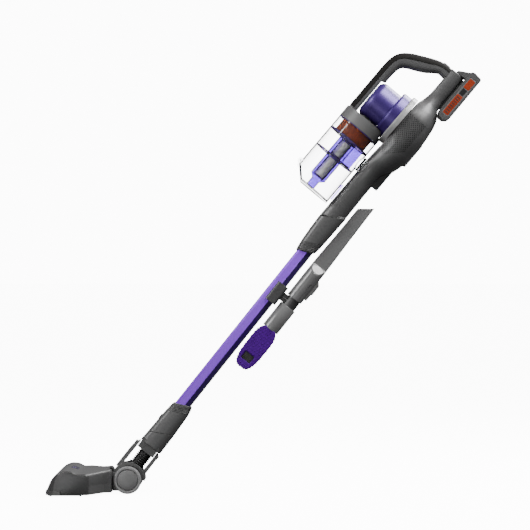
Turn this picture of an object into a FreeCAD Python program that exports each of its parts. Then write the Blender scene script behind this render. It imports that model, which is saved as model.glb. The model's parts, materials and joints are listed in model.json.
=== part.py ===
import FreeCAD, Part
import math
import os
from FreeCAD import Vector

# A cordless stick vacuum, in millimetres: handheld unit with a clear cyclone bin, wand with two
# stowed tools, and a steering floor head. X runs towards the back of the leaning stick, Y across it
# and Z up. Each unit is drawn in its own upright frame (x back, y across, z up the stick) whose
# origin is near the wheel axle, then leaned about Y. The finished frame's origin is the hand grip.

# ---- driving dimensions ----
HAND_LEAN = 40.3
WAND_LEAN = 38.6
HEAD_LEAN = 0.0
GRIP_X, GRIP_Z = -106.0, 1028.0      # hand grip centre, handheld frame
WALL = 2.6                           # moulded shell thickness
GAP = 0.4                            # between bodies that move past each other
RUNNING = 0.05                       # radial clearance of a running shaft

MOTOR_Z = 917.5                      # height of the fore-and-aft motor axis
DOME_R, DOME_FRONT, DOME_BACK = 41.5, -130.0, -80.0
BAND_R, BAND_BACK = 51.0, -60.0
TRIM_R, TRIM_BACK = 57.0, -48.0
HANDLE_X = -136.0                    # centre line of the handle's front leg
HANDLE_HALF_DEPTH, HANDLE_HALF_WIDTH = 14.0, 15.0
HANDLE_FOOT, HANDLE_TOP = 876.0, 1054.0
POST_BACK, POST_TOP = -6.0, 1068.0
PORT_Z, PORT_R = 800.0, 13.0         # air port from nozzle to bin

BIN_X, BIN_R, BIN_WALL = -104.0, 47.5, 2.2
CUP_TOP, COLLAR_TOP = 850.0, 875.0
HINGE_X, HINGE_Z = -150.0, 727.0
KNUCKLE_R = 2.7                         # door knuckle, let into the cup's wall

PACK_BACK, PACK_HALF, PACK_TOP, PACK_FOOT = 24.0, 37.0, 1089.0, 975.0
CELL_R, CELL_LENGTH, CELL_COUNT = 9.0, 65.0, 5

WAND_X = -8.0                        # centre line of the wand
SPIGOT_R, SPIGOT_TOP, SPIGOT_FOOT = 16.5, 725.0, 660.0
TUBE_FOOT, TUBE_TOP, TUBE_WALL = 150.0, 656.0, 1.3
TOOL_X, PEG_R, PEG_LENGTH, CLIP_Z = 35.0, 13.8, 22.0, 491.0

NECK_SPIGOT_R = 14.3
STEER_Z, HOSE_X, HOSE_R = 74.0, -5.5, 14.5
FORK_HALF = 12.0

AXLE_X, AXLE_Z = 2.9, 4.6            # pitch axle, in the level frame of the floor head
FORK_X, FORK_Z = -0.6, 5.4           # the same axle, in the wand frame
DRUM_R, HOOD_R, TRUNNION_R = 26.0, 33.0, 6.0
WHEEL_R, WHEEL_IN, WHEEL_OUT = 28.0, 43.0, 56.0
HEAD_HALF, HEAD_FRONT, HEAD_BACK = 125.0, -154.6, -29.0
CAP_THICK = 6.0
BASE_FOOT, SOLE_FOOT, FLOOR = -19.5, -21.5, -23.4
ROLL_X, ROLL_Z, ROLL_R, BRISTLE_R, ROLL_HALF = -117.0, 1.0, 14.0, 23.4, 106.0
MOUTH_FRONT, MOUTH_BACK, MOUTH_HALF = -142.0, -92.0, 110.0
BELT_MOTOR_X, BELT_MOTOR_Z = -82.0, 4.0

UP = Vector(0, 0, 1)
ACROSS = Vector(0, 1, 0)
BACK = Vector(1, 0, 0)


# ---- helpers ----
def leaned(x, z, lean):
    """A point of an upright frame, in the leaning pose."""
    angle = math.radians(lean)
    return Vector(x * math.cos(angle) + z * math.sin(angle), 0,
                  -x * math.sin(angle) + z * math.cos(angle))


GRIP = leaned(GRIP_X, GRIP_Z, HAND_LEAN)


def save(name, shape, lean):
    """Lean a finished sub-part, bring the grip to the origin and write it."""
    placed = shape.copy()
    placed.rotate(Vector(0, 0, 0), ACROSS, lean)
    placed.translate(GRIP * -1)
    placed.exportStep("parts/" + name + ".step")


def box(x0, x1, y0, y1, z0, z1):
    return Part.makeBox(x1 - x0, y1 - y0, z1 - z0, Vector(x0, y0, z0))


def rod_x(radius, x0, x1, y, z):
    return Part.makeCylinder(radius, x1 - x0, Vector(x0, y, z), BACK)


def rod_y(radius, y0, y1, x, z):
    return Part.makeCylinder(radius, y1 - y0, Vector(x, y0, z), ACROSS)


def rod_z(radius, z0, z1, x, y=0.0):
    return Part.makeCylinder(radius, z1 - z0, Vector(x, y, z0), UP)


def outline(points, y):
    """A closed face in the x-z plane. A third value marks the middle point of an arc."""
    edges = []
    count = len(points)
    here = 0
    while here < count:
        start = points[here]
        after = points[(here + 1) % count]
        if len(after) == 3:
            end = points[(here + 2) % count]
            corners = [Vector(p[0], y, p[1]) for p in (start, after, end)]
            edges.append(Part.Arc(*corners).toShape())
            here += 2
        else:
            edges.append(Part.makeLine(Vector(start[0], y, start[1]), Vector(after[0], y, after[1])))
            here += 1
    return Part.Face(Part.Wire(edges))


def slab(points, y0, y1):
    """An x-z outline extruded across the stick."""
    return outline(points, y0).extrude(Vector(0, y1 - y0, 0))


def round_rect(z, x0, x1, half, radius):
    """A rounded rectangle lying across the stick at height z."""
    corners = [(x1 - radius, half - radius, 0), (x0 + radius, half - radius, 90),
               (x0 + radius, radius - half, 180), (x1 - radius, radius - half, 270)]
    edges = []
    for index, (cx, cy, turn) in enumerate(corners):
        arc = [Vector(cx + radius * math.cos(math.radians(a)), cy + radius * math.sin(math.radians(a)), z)
               for a in (turn, turn + 45, turn + 90)]
        edges.append(Part.Arc(*arc).toShape())
        nx, ny, nturn = corners[(index + 1) % 4]
        following = Vector(nx + radius * math.cos(math.radians(nturn)),
                           ny + radius * math.sin(math.radians(nturn)), z)
        edges.append(Part.makeLine(arc[2], following))
    return Part.Wire(edges)


def loft(sections, skin=0.0):
    """A straight-sided body through rounded rectangles (z, x0, x1, half, radius), shrunk by skin."""
    wires = [round_rect(z, x0 + skin, x1 - skin, half - skin, max(radius - skin, 2.0))
             for z, x0, x1, half, radius in sections]
    return Part.makeLoft(wires, True, True)


def prism(x0, x1, half, radius, z0, z1):
    """An upright block with rounded corners."""
    return Part.Face(round_rect(z0, x0, x1, half, radius)).extrude(Vector(0, 0, z1 - z0))


def turned_x(profile):
    """Spin an (x, radius) profile about the motor axis."""
    face = outline([(p[0], MOTOR_Z + p[1]) + tuple(p[2:]) for p in profile], 0)
    return face.revolve(Vector(0, 0, MOTOR_Z), BACK, 360)


def turned_z(profile, axis_x):
    """Spin a (radius, z) profile about an upright axis."""
    face = outline([(axis_x + p[0], p[1]) + tuple(p[2:]) for p in profile], 0)
    return face.revolve(Vector(axis_x, 0, 0), UP, 360)


def fused(*shapes):
    whole = shapes[0]
    for shape in shapes[1:]:
        whole = whole.fuse(shape)
    return whole.removeSplitter()


def half_space(points, side):
    """A thick slab beyond an x-z line, on its upper (side 1) or lower (side -1) side."""
    (x0, z0), (x1, z1) = points
    slope = (z1 - z0) / (x1 - x0)
    left, right, reach = -90.0, 90.0, 90.0 * side
    z_left = z0 + slope * (left - x0)
    z_right = z0 + slope * (right - x0)
    return slab([(left, z_left), (right, z_right), (right, z_right + reach), (left, z_left + reach)],
                -80, 80)


# ---- handheld unit ----
HOUSING = [
    (655.0, -51.0, -5.0, 21.0, 14.0),
    (700.0, -51.0, -5.5, 21.5, 14.0),
    (770.0, -51.0, -7.0, 22.5, 14.0),
    (800.0, -51.0, -5.0, 28.0, 15.0),
    (832.0, -50.0, 8.0, 41.0, 17.0),
    (865.0, -48.0, 15.5, 50.0, 20.0),
    (905.0, -48.0, 17.0, 53.0, 22.0),
    (940.0, -48.0, 14.0, 50.0, 22.0),
    (965.0, -47.0, 8.0, 40.0, 19.0),
    (985.0, -42.0, -4.5, 25.0, 13.0),
    (1005.0, -39.0, POST_BACK, 19.5, 9.0),
    (1040.0, -39.0, POST_BACK, 19.0, 9.0),
    (POST_TOP, -38.5, POST_BACK, 19.0, 9.0),
]
NOZZLE_JOINT = [(-31.0, 667.0), (14.0, 694.0)]      # slanted end of the nozzle, wand frame
VENT = [(-45.0, 846.0), (-45.0, 944.0), (1.0, 942.0), (1.0, 872.0), (-33.0, 838.0)]
VENT_HOLE_R, VENT_PITCH = 1.3, 5.5


def to_hand(shape):
    """Move a shape from the wand's upright frame to the handheld unit's."""
    moved = shape.copy()
    moved.rotate(Vector(0, 0, 0), ACROSS, WAND_LEAN - HAND_LEAN)
    return moved


def housing_skin():
    """The outer body of the housing, cut to the slanted end of the nozzle."""
    return loft(HOUSING).cut(to_hand(half_space(NOZZLE_JOINT, -1)))


def housing_shell(outer):
    """The hollow housing with its ports, windows and openings."""
    inside = [list(section) for section in HOUSING]
    inside[0][0] -= 5.0
    inside[-1][0] -= WALL
    shell = outer.cut(loft(inside, WALL))
    shell = shell.cut(rod_x(TRIM_R - 7.0, TRIM_BACK - 12, TRIM_BACK + 14, 0, MOTOR_Z))
    shell = shell.cut(rod_x(PORT_R, -60, -40, 0, PORT_Z))
    shell = shell.cut(rod_x(TRIM_R + 0.05, BAND_BACK, TRIM_BACK, 0, MOTOR_Z))
    shell = shell.cut(slab(VENT, -60, 60))
    shell = shell.cut(latch_area(GAP, 2.2))
    socket = rod_z(SPIGOT_R + 4, 698, 730, WAND_X)
    return shell.fuse(to_hand(socket).common(outer)).cut(to_hand(rod_z(SPIGOT_R + GAP, 660, 731, WAND_X)))


def latch_area(grow=0.0, travel=0.0):
    """The D-shaped area of the bin release, on the near side of the nozzle."""
    points = [(-49.5 - grow, 781 - grow), (-49.5 - grow, 815 + grow), (-46, 815 + grow),
              (-40 + grow, 798, "arc"), (-46, 781 - grow)]
    return slab(points, -45, travel - 12)


def bin_release(outer):
    """A key that follows the nozzle's side wall."""
    return outer.common(latch_area()).cut(loft(HOUSING, 3.4))


def vent_grille(outer, side):
    """The perforated part of the side wall, following the housing's own curve."""
    inside = [list(section) for section in HOUSING]
    wall = outer.cut(loft(inside, WALL - 0.4)).common(slab(VENT, 0, 60 * side))
    cutters = []
    rows = int((944 - 842) / (VENT_PITCH * 0.5))
    for row in range(rows):
        z = 842 + row * VENT_PITCH * 0.5
        for column in range(8):
            x = -41.5 + column * VENT_PITCH + (row % 2) * VENT_PITCH * 0.5
            low = 872 + (x - 1.0) * (872 - 838) / 34.0
            if x < -2 and low + 4 < z < 940:
                cutters.append(rod_y(VENT_HOLE_R, 25, 62, x, z))
    holes = Part.Compound(cutters)
    if side < 0:
        holes = holes.mirror(Vector(0, 0, 0), ACROSS)
    return wall.cut(holes)


def handle_path():
    """The handle's centre line: up the front leg, over the top and back to the post."""
    leg = Part.makeLine(Vector(HANDLE_X, 0, HANDLE_FOOT), Vector(HANDLE_X, 0, 986))
    curve = Part.BSplineCurve()
    curve.interpolate(Points=[Vector(HANDLE_X, 0, 986), Vector(-122, 0, 1017), Vector(-85, 0, 1041),
                              Vector(-56, 0, 1053), Vector(-26, 0, HANDLE_TOP)],
                      InitialTangent=Vector(0, 0, 60), FinalTangent=Vector(30, 0, 0))
    return Part.Wire([leg, curve.toShape()])


def swept(face_wire):
    return handle_path().makePipeShell([face_wire], True, False)


def handle_parts(outer):
    """Core and soft grip of the handle, trimmed to the motor cover and the post."""
    front, back = HANDLE_X - HANDLE_HALF_DEPTH, HANDLE_X + HANDLE_HALF_DEPTH
    skin = 2.6
    full = swept(round_rect(HANDLE_FOOT, front, back, HANDLE_HALF_WIDTH, 10.0))
    inner = swept(round_rect(HANDLE_FOOT, front + skin, back - skin, HANDLE_HALF_WIDTH - skin, 8.0))
    hollow = swept(round_rect(HANDLE_FOOT, front + 6, back - 6, HANDLE_HALF_WIDTH - 6, 5.0))
    back_half = swept(round_rect(HANDLE_FOOT, HANDLE_X - 1, back + 3, HANDLE_HALF_WIDTH + 3, 0.5))
    dome = rod_x(DOME_R + 0.1, DOME_FRONT - 0.1, BAND_BACK, 0, MOTOR_Z)
    key_well = prism(-58 - GAP, -42 + GAP, 5 + GAP, 4, HANDLE_TOP + 5, HANDLE_TOP + 20)
    grip = full.cut(back_half).cut(inner).cut(dome).cut(outer).cut(key_well)
    core = full.common(back_half.fuse(inner)).cut(hollow).cut(dome).cut(outer).cut(key_well)
    return core, grip


def motor_cover():
    """The purple dome in front of the motor, open at the back."""
    r, a, b, t, c = DOME_R, DOME_FRONT, DOME_BACK, 2.5, 15.0
    k = c * (1 - math.sqrt(0.5))
    profile = [(a, 0), (a, r - c), (a + k, r - k, "arc"), (a + c, r), (b, r), (b, r - t), (a + c, r - t),
               (a + k + t * 0.7, r - k - t * 0.7, "arc"), (a + t, r - c), (a + t, 0)]
    inlet = rod_z(18, MOTOR_Z - DOME_R - 5, MOTOR_Z, BIN_X)
    return turned_x(profile).cut(inlet)


def motor_cover_band():
    """The raised ridge behind the dome, closed to the dome by a flange."""
    r, a, b, t, c = BAND_R, DOME_BACK + 0.1, BAND_BACK - 0.1, 3.0, 5.0
    k = c * (1 - math.sqrt(0.5))
    return turned_x([(a, DOME_R - t), (a, r - c), (a + k, r - k, "arc"), (a + c, r), (b, r), (b, r - t),
                     (a + t, r - t), (a + t, DOME_R - t)])


def front_trim_ring():
    r, a, b, c = TRIM_R, BAND_BACK, TRIM_BACK - 0.1, 4.0
    k = c * (1 - math.sqrt(0.5))
    return turned_x([(a, BAND_R - 8), (a, r - c), (a + k, r - k, "arc"), (a + c, r), (b, r),
                     (b, BAND_R - 3), (a + 4, BAND_R - 3), (a + 4, BAND_R - 8)])


def impeller():
    """Backplate, hub, slanted blades and shaft of the suction fan."""
    x0, x1 = -116.0, -104.0
    wheel = fused(rod_x(29, x1 - 1.5, x1, 0, MOTOR_Z), rod_x(7, x0, x1, 0, MOTOR_Z))
    blade_count = 9
    for number in range(blade_count):
        blade = box(x0 + 2, x1 - 1, -0.6, 0.6, 6, 28)
        blade.rotate(Vector(0, 0, 6), BACK, 25)
        blade.rotate(Vector(0, 0, 0), BACK, number * 360.0 / blade_count)
        blade.translate(Vector(0, 0, MOTOR_Z))
        wheel = wheel.fuse(blade)
    return wheel.fuse(rod_x(2.5, x0 - 1, -49, 0, MOTOR_Z)).removeSplitter()


def motor_carrier():
    """Shroud round the impeller, spacer rings that centre the motor, and the inlet duct below."""
    shroud = rod_x(33, -119, -98, 0, MOTOR_Z).cut(rod_x(30.5, -117, -100, 0, MOTOR_Z))
    shroud = shroud.cut(rod_x(12, -120, -97, 0, MOTOR_Z))
    spacer = rod_x(DOME_R - 2.6, -92, -84, 0, MOTOR_Z).cut(rod_x(24, -92, -84, 0, MOTOR_Z))
    link = rod_x(33, -98, -92, 0, MOTOR_Z).cut(rod_x(24, -98, -92, 0, MOTOR_Z))
    duct = rod_z(17.9, COLLAR_TOP + 0.4, 886.5, BIN_X).cut(rod_x(33, -125, -80, 0, MOTOR_Z))
    return fused(shroud, link, spacer, duct.cut(rod_z(15.5, 870, 900, BIN_X)))


def power_button():
    """A domed key in the handle's top, with a stem into the handle's hollow."""
    cap = prism(-58, -42, 5, 4, HANDLE_TOP + 10, HANDLE_TOP + 15.2)
    return cap.fuse(rod_z(2.5, HANDLE_TOP + 3, HANDLE_TOP + 10, -50))


def handheld():
    outer = housing_skin()
    shell = housing_shell(outer)
    far_half = box(-90, 60, 0, 90, 600, 1120)
    near_half = box(-90, 60, -90, 0, 600, 1120)
    save("main_housing_left", shell.common(near_half), HAND_LEAN)
    save("main_housing_right", shell.common(far_half), HAND_LEAN)
    save("left_vent_grille", vent_grille(outer, -1), HAND_LEAN)
    save("right_vent_grille", vent_grille(outer, 1), HAND_LEAN)
    core, grip = handle_parts(outer)
    save("handle_core", core, HAND_LEAN)
    save("grip_overmold", grip, HAND_LEAN)
    save("motor_cover", motor_cover(), HAND_LEAN)
    save("motor_cover_band", motor_cover_band(), HAND_LEAN)
    save("front_trim_ring", front_trim_ring(), HAND_LEAN)

    # motor, impeller and filters along the fore-and-aft axis
    can = fused(rod_x(24, -98, -52, 0, MOTOR_Z), rod_x(9, -52, -46, 0, MOTOR_Z))
    save("suction_motor", can.cut(rod_x(2.5 + RUNNING, -99, -48, 0, MOTOR_Z)), HAND_LEAN)
    save("fan_impeller", impeller(), HAND_LEAN)
    save("motor_carrier", motor_carrier(), HAND_LEAN)
    save("exhaust_filter", rod_x(37, -44, -12, 0, MOTOR_Z).cut(rod_x(29, -44, -12, 0, MOTOR_Z)), HAND_LEAN)

    board = box(3, 4.6, -20, 20, 885, 945)
    for z, tall in ((892, 3), (905, 5), (922, 4), (934, 2.5)):
        board = board.fuse(box(3 - tall, 3, -12, 8, z, z + 8))
    save("control_board", board, HAND_LEAN)

    # battery rail: a T that the pack slides down over, with three contact blades on top
    rail = fused(box(POST_BACK - 0.5, -2, -14, 14, 990, 1064), box(-2, 1.5, -19, 19, 990, 1064))
    blades = [box(-1.2, -0.4, y - 2, y + 2, 1060, 1070) for y in (-7, 0, 7)]
    save("battery_rail", fused(rail, *blades).cut(outer), HAND_LEAN)

    # docking block with the charging jack facing back
    dock = slab([(-14, 779), (6, 779), (6, 828), (0, 828), (-12, 812, "arc")], -14, 14).cut(outer)
    dock = dock.cut(rod_x(2.75, -3, 7, 0, 800))
    save("dock_block", dock, HAND_LEAN)

    seal = rod_x(PORT_R + 3, -56, -51.2, 0, PORT_Z).cut(rod_x(PORT_R, -57, -50, 0, PORT_Z))
    save("bin_seal", seal, HAND_LEAN)

    save("power_button", power_button(), HAND_LEAN)
    save("bin_latch", bin_release(outer), HAND_LEAN)


# ---- dust bin ----
DOOR_LINE = [(-170, 733.5), (HINGE_X, 722.5), (-125, 697.5), (-40, 697.5)]
DOOR_THICK = 3.2


def below_door_line(drop=0.0):
    """Everything under the slanted and flat underside of the bin, lowered by drop."""
    line = [(x, z - drop) for x, z in DOOR_LINE]
    return slab(line + [(-40, 640), (-170, 640)], -70, 70)


def bin_cup():
    """Clear cup with the inlet port at the back and two hinge lugs at the front."""
    wall = rod_z(BIN_R, 680, CUP_TOP, BIN_X).cut(rod_z(BIN_R - BIN_WALL, 670, CUP_TOP + 1, BIN_X))
    wall = wall.cut(below_door_line())
    wall = wall.cut(rod_x(PORT_R, -70, -50, 0, PORT_Z))
    port = rod_x(PORT_R + 3, -64, -56.4, 0, PORT_Z).cut(rod_x(PORT_R, -70, -50, 0, PORT_Z))
    wall = wall.fuse(port.cut(rod_z(BIN_R - BIN_WALL, 700, CUP_TOP, BIN_X)))
    for y in (-9, 9):
        lug = rod_y(5.5, y - 3, y + 3, HINGE_X - 3, HINGE_Z)
        lug = lug.fuse(box(HINGE_X - 3, HINGE_X + 3, y - 3, y + 3, HINGE_Z, HINGE_Z + 5.5))
        wall = wall.fuse(lug.cut(rod_z(BIN_R - BIN_WALL, 670, CUP_TOP, BIN_X)))
    wall = wall.cut(rod_y(KNUCKLE_R + 0.3, -5.9, 5.9, HINGE_X - 3, HINGE_Z))
    return wall.cut(rod_y(1.5, -20, 20, HINGE_X - 3, HINGE_Z)).removeSplitter()


def bin_door():
    """The bottom door: a slanted and a flat panel with a knuckle between the cup's lugs."""
    body = rod_z(BIN_R, 680, 760, BIN_X)
    panel = body.common(below_door_line(0.5)).cut(below_door_line(0.5 + DOOR_THICK))
    knuckle = rod_y(5.0, -5.5, 5.5, HINGE_X - 3, HINGE_Z).common(box(-160, HINGE_X - 3, -6, 6, 720, HINGE_Z))
    knuckle = knuckle.fuse(rod_y(KNUCKLE_R, -5.5, 5.5, HINGE_X - 3, HINGE_Z))
    web = [(-157.5, 727), (-153, 716), (-146, 713), (-149, 722), (-152, 727)]
    knuckle = knuckle.fuse(slab(web, -5.5, 5.5))
    cup_room = rod_z(BIN_R + 0.4, 680, 760, BIN_X).cut(below_door_line(0.5))
    cup_room = cup_room.cut(rod_y(KNUCKLE_R, -5.5, 5.5, HINGE_X - 3, HINGE_Z))
    panel = panel.cut(rod_y(6.3, -12.8, 12.8, HINGE_X - 3, HINGE_Z))
    door = panel.fuse(knuckle.cut(cup_room))
    door = door.fuse(box(-62, -57, -8, 8, 697.0 - DOOR_THICK, 697.0))
    return door.cut(rod_y(1.5 + RUNNING, -20, 20, HINGE_X - 3, HINGE_Z)).removeSplitter()


def bin_collar():
    """Grey collar over the cup, relieved around the motor housing behind it."""
    body = rod_z(BIN_R + 0.5, CUP_TOP + 0.05, COLLAR_TOP, BIN_X)
    body = body.cut(rod_z(BIN_R - 2.2, CUP_TOP - 1, COLLAR_TOP - 3, BIN_X))
    body = body.cut(rod_z(15.5, CUP_TOP, COLLAR_TOP + 1, BIN_X))
    body = body.cut(rod_x(BAND_R + 0.8, DOME_BACK - 1, BAND_BACK - 1, 0, MOTOR_Z))
    return body.cut(rod_x(TRIM_R + 0.8, BAND_BACK - 1, -40, 0, MOTOR_Z))


def pleated_filter():
    """A star-folded filter tube."""
    folds, outer_r, inner_r = 26, 25.0, 19.0
    points = []
    for number in range(folds * 2):
        angle = math.pi * number / folds
        radius = outer_r if number % 2 else inner_r + 1.6
        points.append(Vector(BIN_X + radius * math.cos(angle), radius * math.sin(angle), 824))
    star = Part.Face(Part.makePolygon(points + points[:1])).extrude(Vector(0, 0, 24))
    return star.cut(rod_z(inner_r, 823, 849, BIN_X))


def dust_bin():
    save("bin_cup", bin_cup(), HAND_LEAN)
    save("bin_collar", bin_collar(), HAND_LEAN)
    save("bin_door", bin_door(), HAND_LEAN)
    save("door_hinge_pin", rod_y(1.5, -12, 12, HINGE_X - 3, HINGE_Z), HAND_LEAN)
    seal = rod_z(BIN_R - BIN_WALL - 0.1, 690, 760, BIN_X).cut(rod_z(BIN_R - BIN_WALL - 2.2, 680, 770, BIN_X))
    save("door_seal", seal.common(below_door_line(-1.6)).cut(below_door_line(0.1)), HAND_LEAN)
    latch = fused(box(-55.9, -52.2, -9, 9, 706, 744), box(-59.9, -55.9, -6, 6, 736, 742).cut(
        rod_z(BIN_R + 0.1, 700, 760, BIN_X)))
    save("door_latch", latch, HAND_LEAN)

    # cyclone: perforated cone and tube inside a tinted shroud, hung from the filter tray
    upper, lower, stem = 19.0, 18.0, 9.5
    shroud = turned_z([(upper - 1.8, 816), (upper, 816), (upper, 778), (lower, 774), (lower, 724),
                       (stem, 716), (stem, 699), (stem - 1.8, 699), (stem - 1.8, 715), (lower - 1.8, 723),
                       (lower - 1.8, 774), (upper - 1.8, 779)], BIN_X)
    save("mesh_screen", rod_z(13.0, 724, 815, BIN_X).cut(rod_z(12.2, 723, 816, BIN_X)), HAND_LEAN)
    plate = rod_z(BIN_R - BIN_WALL - 0.2, 774, 776, BIN_X).cut(rod_z(upper - 1.5, 770, 780, BIN_X))
    plate = plate.cut(box(-140, -110, 22, 60, 770, 780))
    scoop = box(-86, -66, -15, 15, 776, 820).cut(box(-87, -65, -12.6, 12.6, 778.4, 817.6))
    scoop = scoop.cut(rod_z(upper - 1.8, 770, 830, BIN_X))
    tray = rod_z(BIN_R - BIN_WALL - 0.1, 820, 822.5, BIN_X).cut(rod_z(12.0, 819, 823, BIN_X))
    throat = rod_z(upper, 815.9, 820, BIN_X).cut(rod_z(12.0, 815, 821, BIN_X))
    save("cyclone_shroud", fused(shroud, plate, scoop, throat, tray), HAND_LEAN)
    ring = rod_z(33, 834, 849.5, BIN_X).cut(rod_z(26, 830, 850, BIN_X))
    save("filter_cartridge", Part.Compound([ring, pleated_filter()]), HAND_LEAN)


# ---- battery pack ----
def battery_case():
    """Slide pack: a rounded block with a nose over the post and a T slot for the rail."""
    side = [(-3.6, 989), (0, 980), (4, PACK_FOOT), (17, PACK_FOOT),
            (PACK_BACK - 1.6, 978, "arc"), (PACK_BACK, 985),
            (PACK_BACK - 2, PACK_TOP - 3), (PACK_BACK - 4, PACK_TOP), (0, PACK_TOP), (-27, POST_TOP + 4),
            (-27, POST_TOP + 0.5), (-3.6, POST_TOP + 0.5)]
    body = slab(side, -PACK_HALF, PACK_HALF)
    corners = prism(-12, PACK_BACK, PACK_HALF, 7, 960, 1100)
    nose = prism(-60, 0, 17, 8, 960, 1100)
    body = body.common(corners.fuse(nose))
    body = body.cut(fused(box(-4, -1.6, -14.4, 14.4, 970, 1064.5), box(-2.4, 1.9, -19.4, 19.4, 970, 1064.5)))
    body = body.cut(box(-1.6, 0, -9.5, 9.5, 1060, 1071))
    half_cell = CELL_LENGTH / 2 + 1
    body = body.cut(box(3.2, 21.8, -half_cell, half_cell, 979, 1076))
    body = body.cut(box(2, 19, -9 - GAP, 9 + GAP, 1079, PACK_TOP + 1))
    for y0, y1 in ((-PACK_HALF - 1, -PACK_HALF + 0.8), (PACK_HALF - 0.8, PACK_HALF + 1)):
        body = body.cut(box(1.6, 17.6, y0, y1, 984.6, 1076.4))
    return body


def battery():
    save("battery_case", battery_case(), HAND_LEAN)
    cells = [rod_y(CELL_R, -CELL_LENGTH / 2, CELL_LENGTH / 2, 12.5, 989 + number * 18.6)
             for number in range(CELL_COUNT)]
    save("battery_cells", Part.Compound(cells), HAND_LEAN)
    labels = [box(2, 17.2, y, y + 0.75, 985, 1076) for y in (-PACK_HALF + 0.03, PACK_HALF - 0.78)]
    save("battery_labels", Part.Compound(labels), HAND_LEAN)
    save("battery_button", box(4, 18, -9, 9, 1082.4, PACK_TOP + 0.8), HAND_LEAN)


# ---- wand and stowed tools ----
TUBE = [(-23, -8.5), (-19.5, -15), (-4, -15), (4.4, -7.5), (4.4, 7.5), (-4, 15), (-19.5, 15), (-23, 8.5)]
CUFF_TOP = [(584.0, -24.5, 9.0, 17.2, 9.0), (615.0, -28.0, 13.0, 19.0, 11.0),
            (700.0, -32.0, 16.5, 21.5, 14.0)]
CUFF_FOOT = [(80.0, -31.8, 18.8, 20.5, 13.0), (106.0, -30.6, 18.0, 20.0, 12.0),
             (170.0, -28.5, 15.0, 18.5, 11.0), (192.0, -26.0, 12.0, 17.0, 9.0),
             (202.0, -24.5, 9.0, 16.4, 8.5)]
NECK_JOINT = [(-30.0, 106.0), (7.0, 127.0)]
JOINT_GAP = 0.4


def tube_prism(z0, z1, shrink=0.0):
    """The wand tube's section: flat sides, chamfered towards a narrow back."""
    wire = Part.makePolygon([Vector(x, y, z0) for x, y in TUBE + TUBE[:1]])
    if shrink:
        wire = wire.makeOffset2D(-shrink)
    return Part.Face(wire).extrude(Vector(0, 0, z1 - z0))


def upper_cuff():
    """Grey sleeve on the tube's top, with the spigot that plugs into the nozzle."""
    body = loft(CUFF_TOP).cut(half_space([(NOZZLE_JOINT[0][0], NOZZLE_JOINT[0][1] - JOINT_GAP),
                                          (NOZZLE_JOINT[1][0], NOZZLE_JOINT[1][1] - JOINT_GAP)], 1))
    body = body.cut(half_space([(-24, 583), (8, 598)], -1))
    body = body.fuse(rod_z(SPIGOT_R, SPIGOT_FOOT, SPIGOT_TOP, WAND_X))
    body = body.cut(tube_prism(570, TUBE_TOP)).cut(box(4.3, 7.1, -7.1, 7.1, 570, TUBE_TOP))
    body = body.cut(rod_z(SPIGOT_R - 2.5, TUBE_TOP - 1, SPIGOT_TOP + 1, WAND_X))
    return body.cut(rod_x(7 + GAP, -40, -23.7, 0, 640)).removeSplitter()


def lower_cuff():
    """Grey sleeve at the tube's foot, with the spigot that plugs into the neck."""
    body = loft(CUFF_FOOT).cut(half_space(NECK_JOINT, -1)).cut(half_space([(-26, 185), (9, 200)], 1))
    body = body.fuse(rod_z(NECK_SPIGOT_R, 84, 150, WAND_X + 1))
    body = body.cut(tube_prism(TUBE_FOOT, 220)).cut(box(4.3, 7.1, -7.1, 7.1, TUBE_FOOT, 220))
    body = body.cut(rod_z(NECK_SPIGOT_R - 2.3, 80, TUBE_FOOT + 1, WAND_X + 1))
    return body.cut(rod_x(6 + GAP, -40, -23.7, 0, 145)).removeSplitter()


def accessory_clip():
    """A collar round the tube with a ring behind it that carries the two pegs."""
    wrap = prism(-13, 12, 19, 5, 467, 511)
    ring = rod_z(15, CLIP_Z - 10, CLIP_Z + 10, TOOL_X)
    arm = box(7, 24, -9, 9, CLIP_Z - 9, CLIP_Z + 9)
    peg = rod_z(PEG_R, CLIP_Z - 10 - PEG_LENGTH, CLIP_Z + 10 + PEG_LENGTH, TOOL_X)
    body = fused(wrap, arm, ring, peg).cut(rod_z(10, 440, 540, TOOL_X))
    return body.cut(tube_prism(460, 520)).cut(box(4.3, 7.1, -7.1, 7.1, 460, 520))


def crevice_tool():
    """A round socket with a latch rib behind, running into a flat blade with a slanted mouth."""
    socket = rod_z(17, 501.6, 572, TOOL_X).cut(rod_z(PEG_R + GAP, 500, 560, TOOL_X))
    root, shoulder, tip = 572.0, 592.0, 750.0
    blade = loft([(root, 18, 52, 17, 16.5), (shoulder, 18.5, 52.5, 8, 6), (tip, 22, 48.5, 6.5, 5)])
    bore = loft([(root - 0.1, 21, 49, 14, 13.5), (shoulder, 20.7, 50.3, 5.8, 4),
                 (tip + 1, 24.2, 46.3, 4.3, 3)])
    lever = slab([(48, 513), (58, 518), (60, 536, "arc"), (57.5, 552), (48, 560)], -5, 5)
    tool = fused(socket, blade, lever.cut(rod_z(16, 500, 570, TOOL_X)))
    tool = tool.cut(bore).cut(rod_z(PEG_R - 1, 555, root + 1, TOOL_X))
    tool = tool.cut(slab([(10, 717), (60, 757.6), (60, 790), (10, 790)], -30, 30))
    tool = tool.cut(box(TOOL_X + 6, TOOL_X + 10, -25, 0, 500, 543))
    return tool


HEAD_FACE = [(14, 336), (35, 329, "arc"), (56, 336), (57, 404), (35, 420, "arc"), (13, 404)]
PAD_FACE = [(12, 334), (35, 326.5, "arc"), (58, 334), (59.5, 406), (35, 423.5, "arc"), (10.5, 406)]


def brush_tool():
    """Socket, flared head and suction slot of the dusting brush."""
    socket = rod_z(18, 402, CLIP_Z - 10.5, TOOL_X).cut(rod_z(PEG_R + GAP, 430, 483, TOOL_X))
    head = slab(HEAD_FACE, -11, 14)
    return fused(socket, head).cut(box(24, 46, -12, 3, 342, 358)).cut(rod_z(9, 350, 440, TOOL_X))


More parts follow.
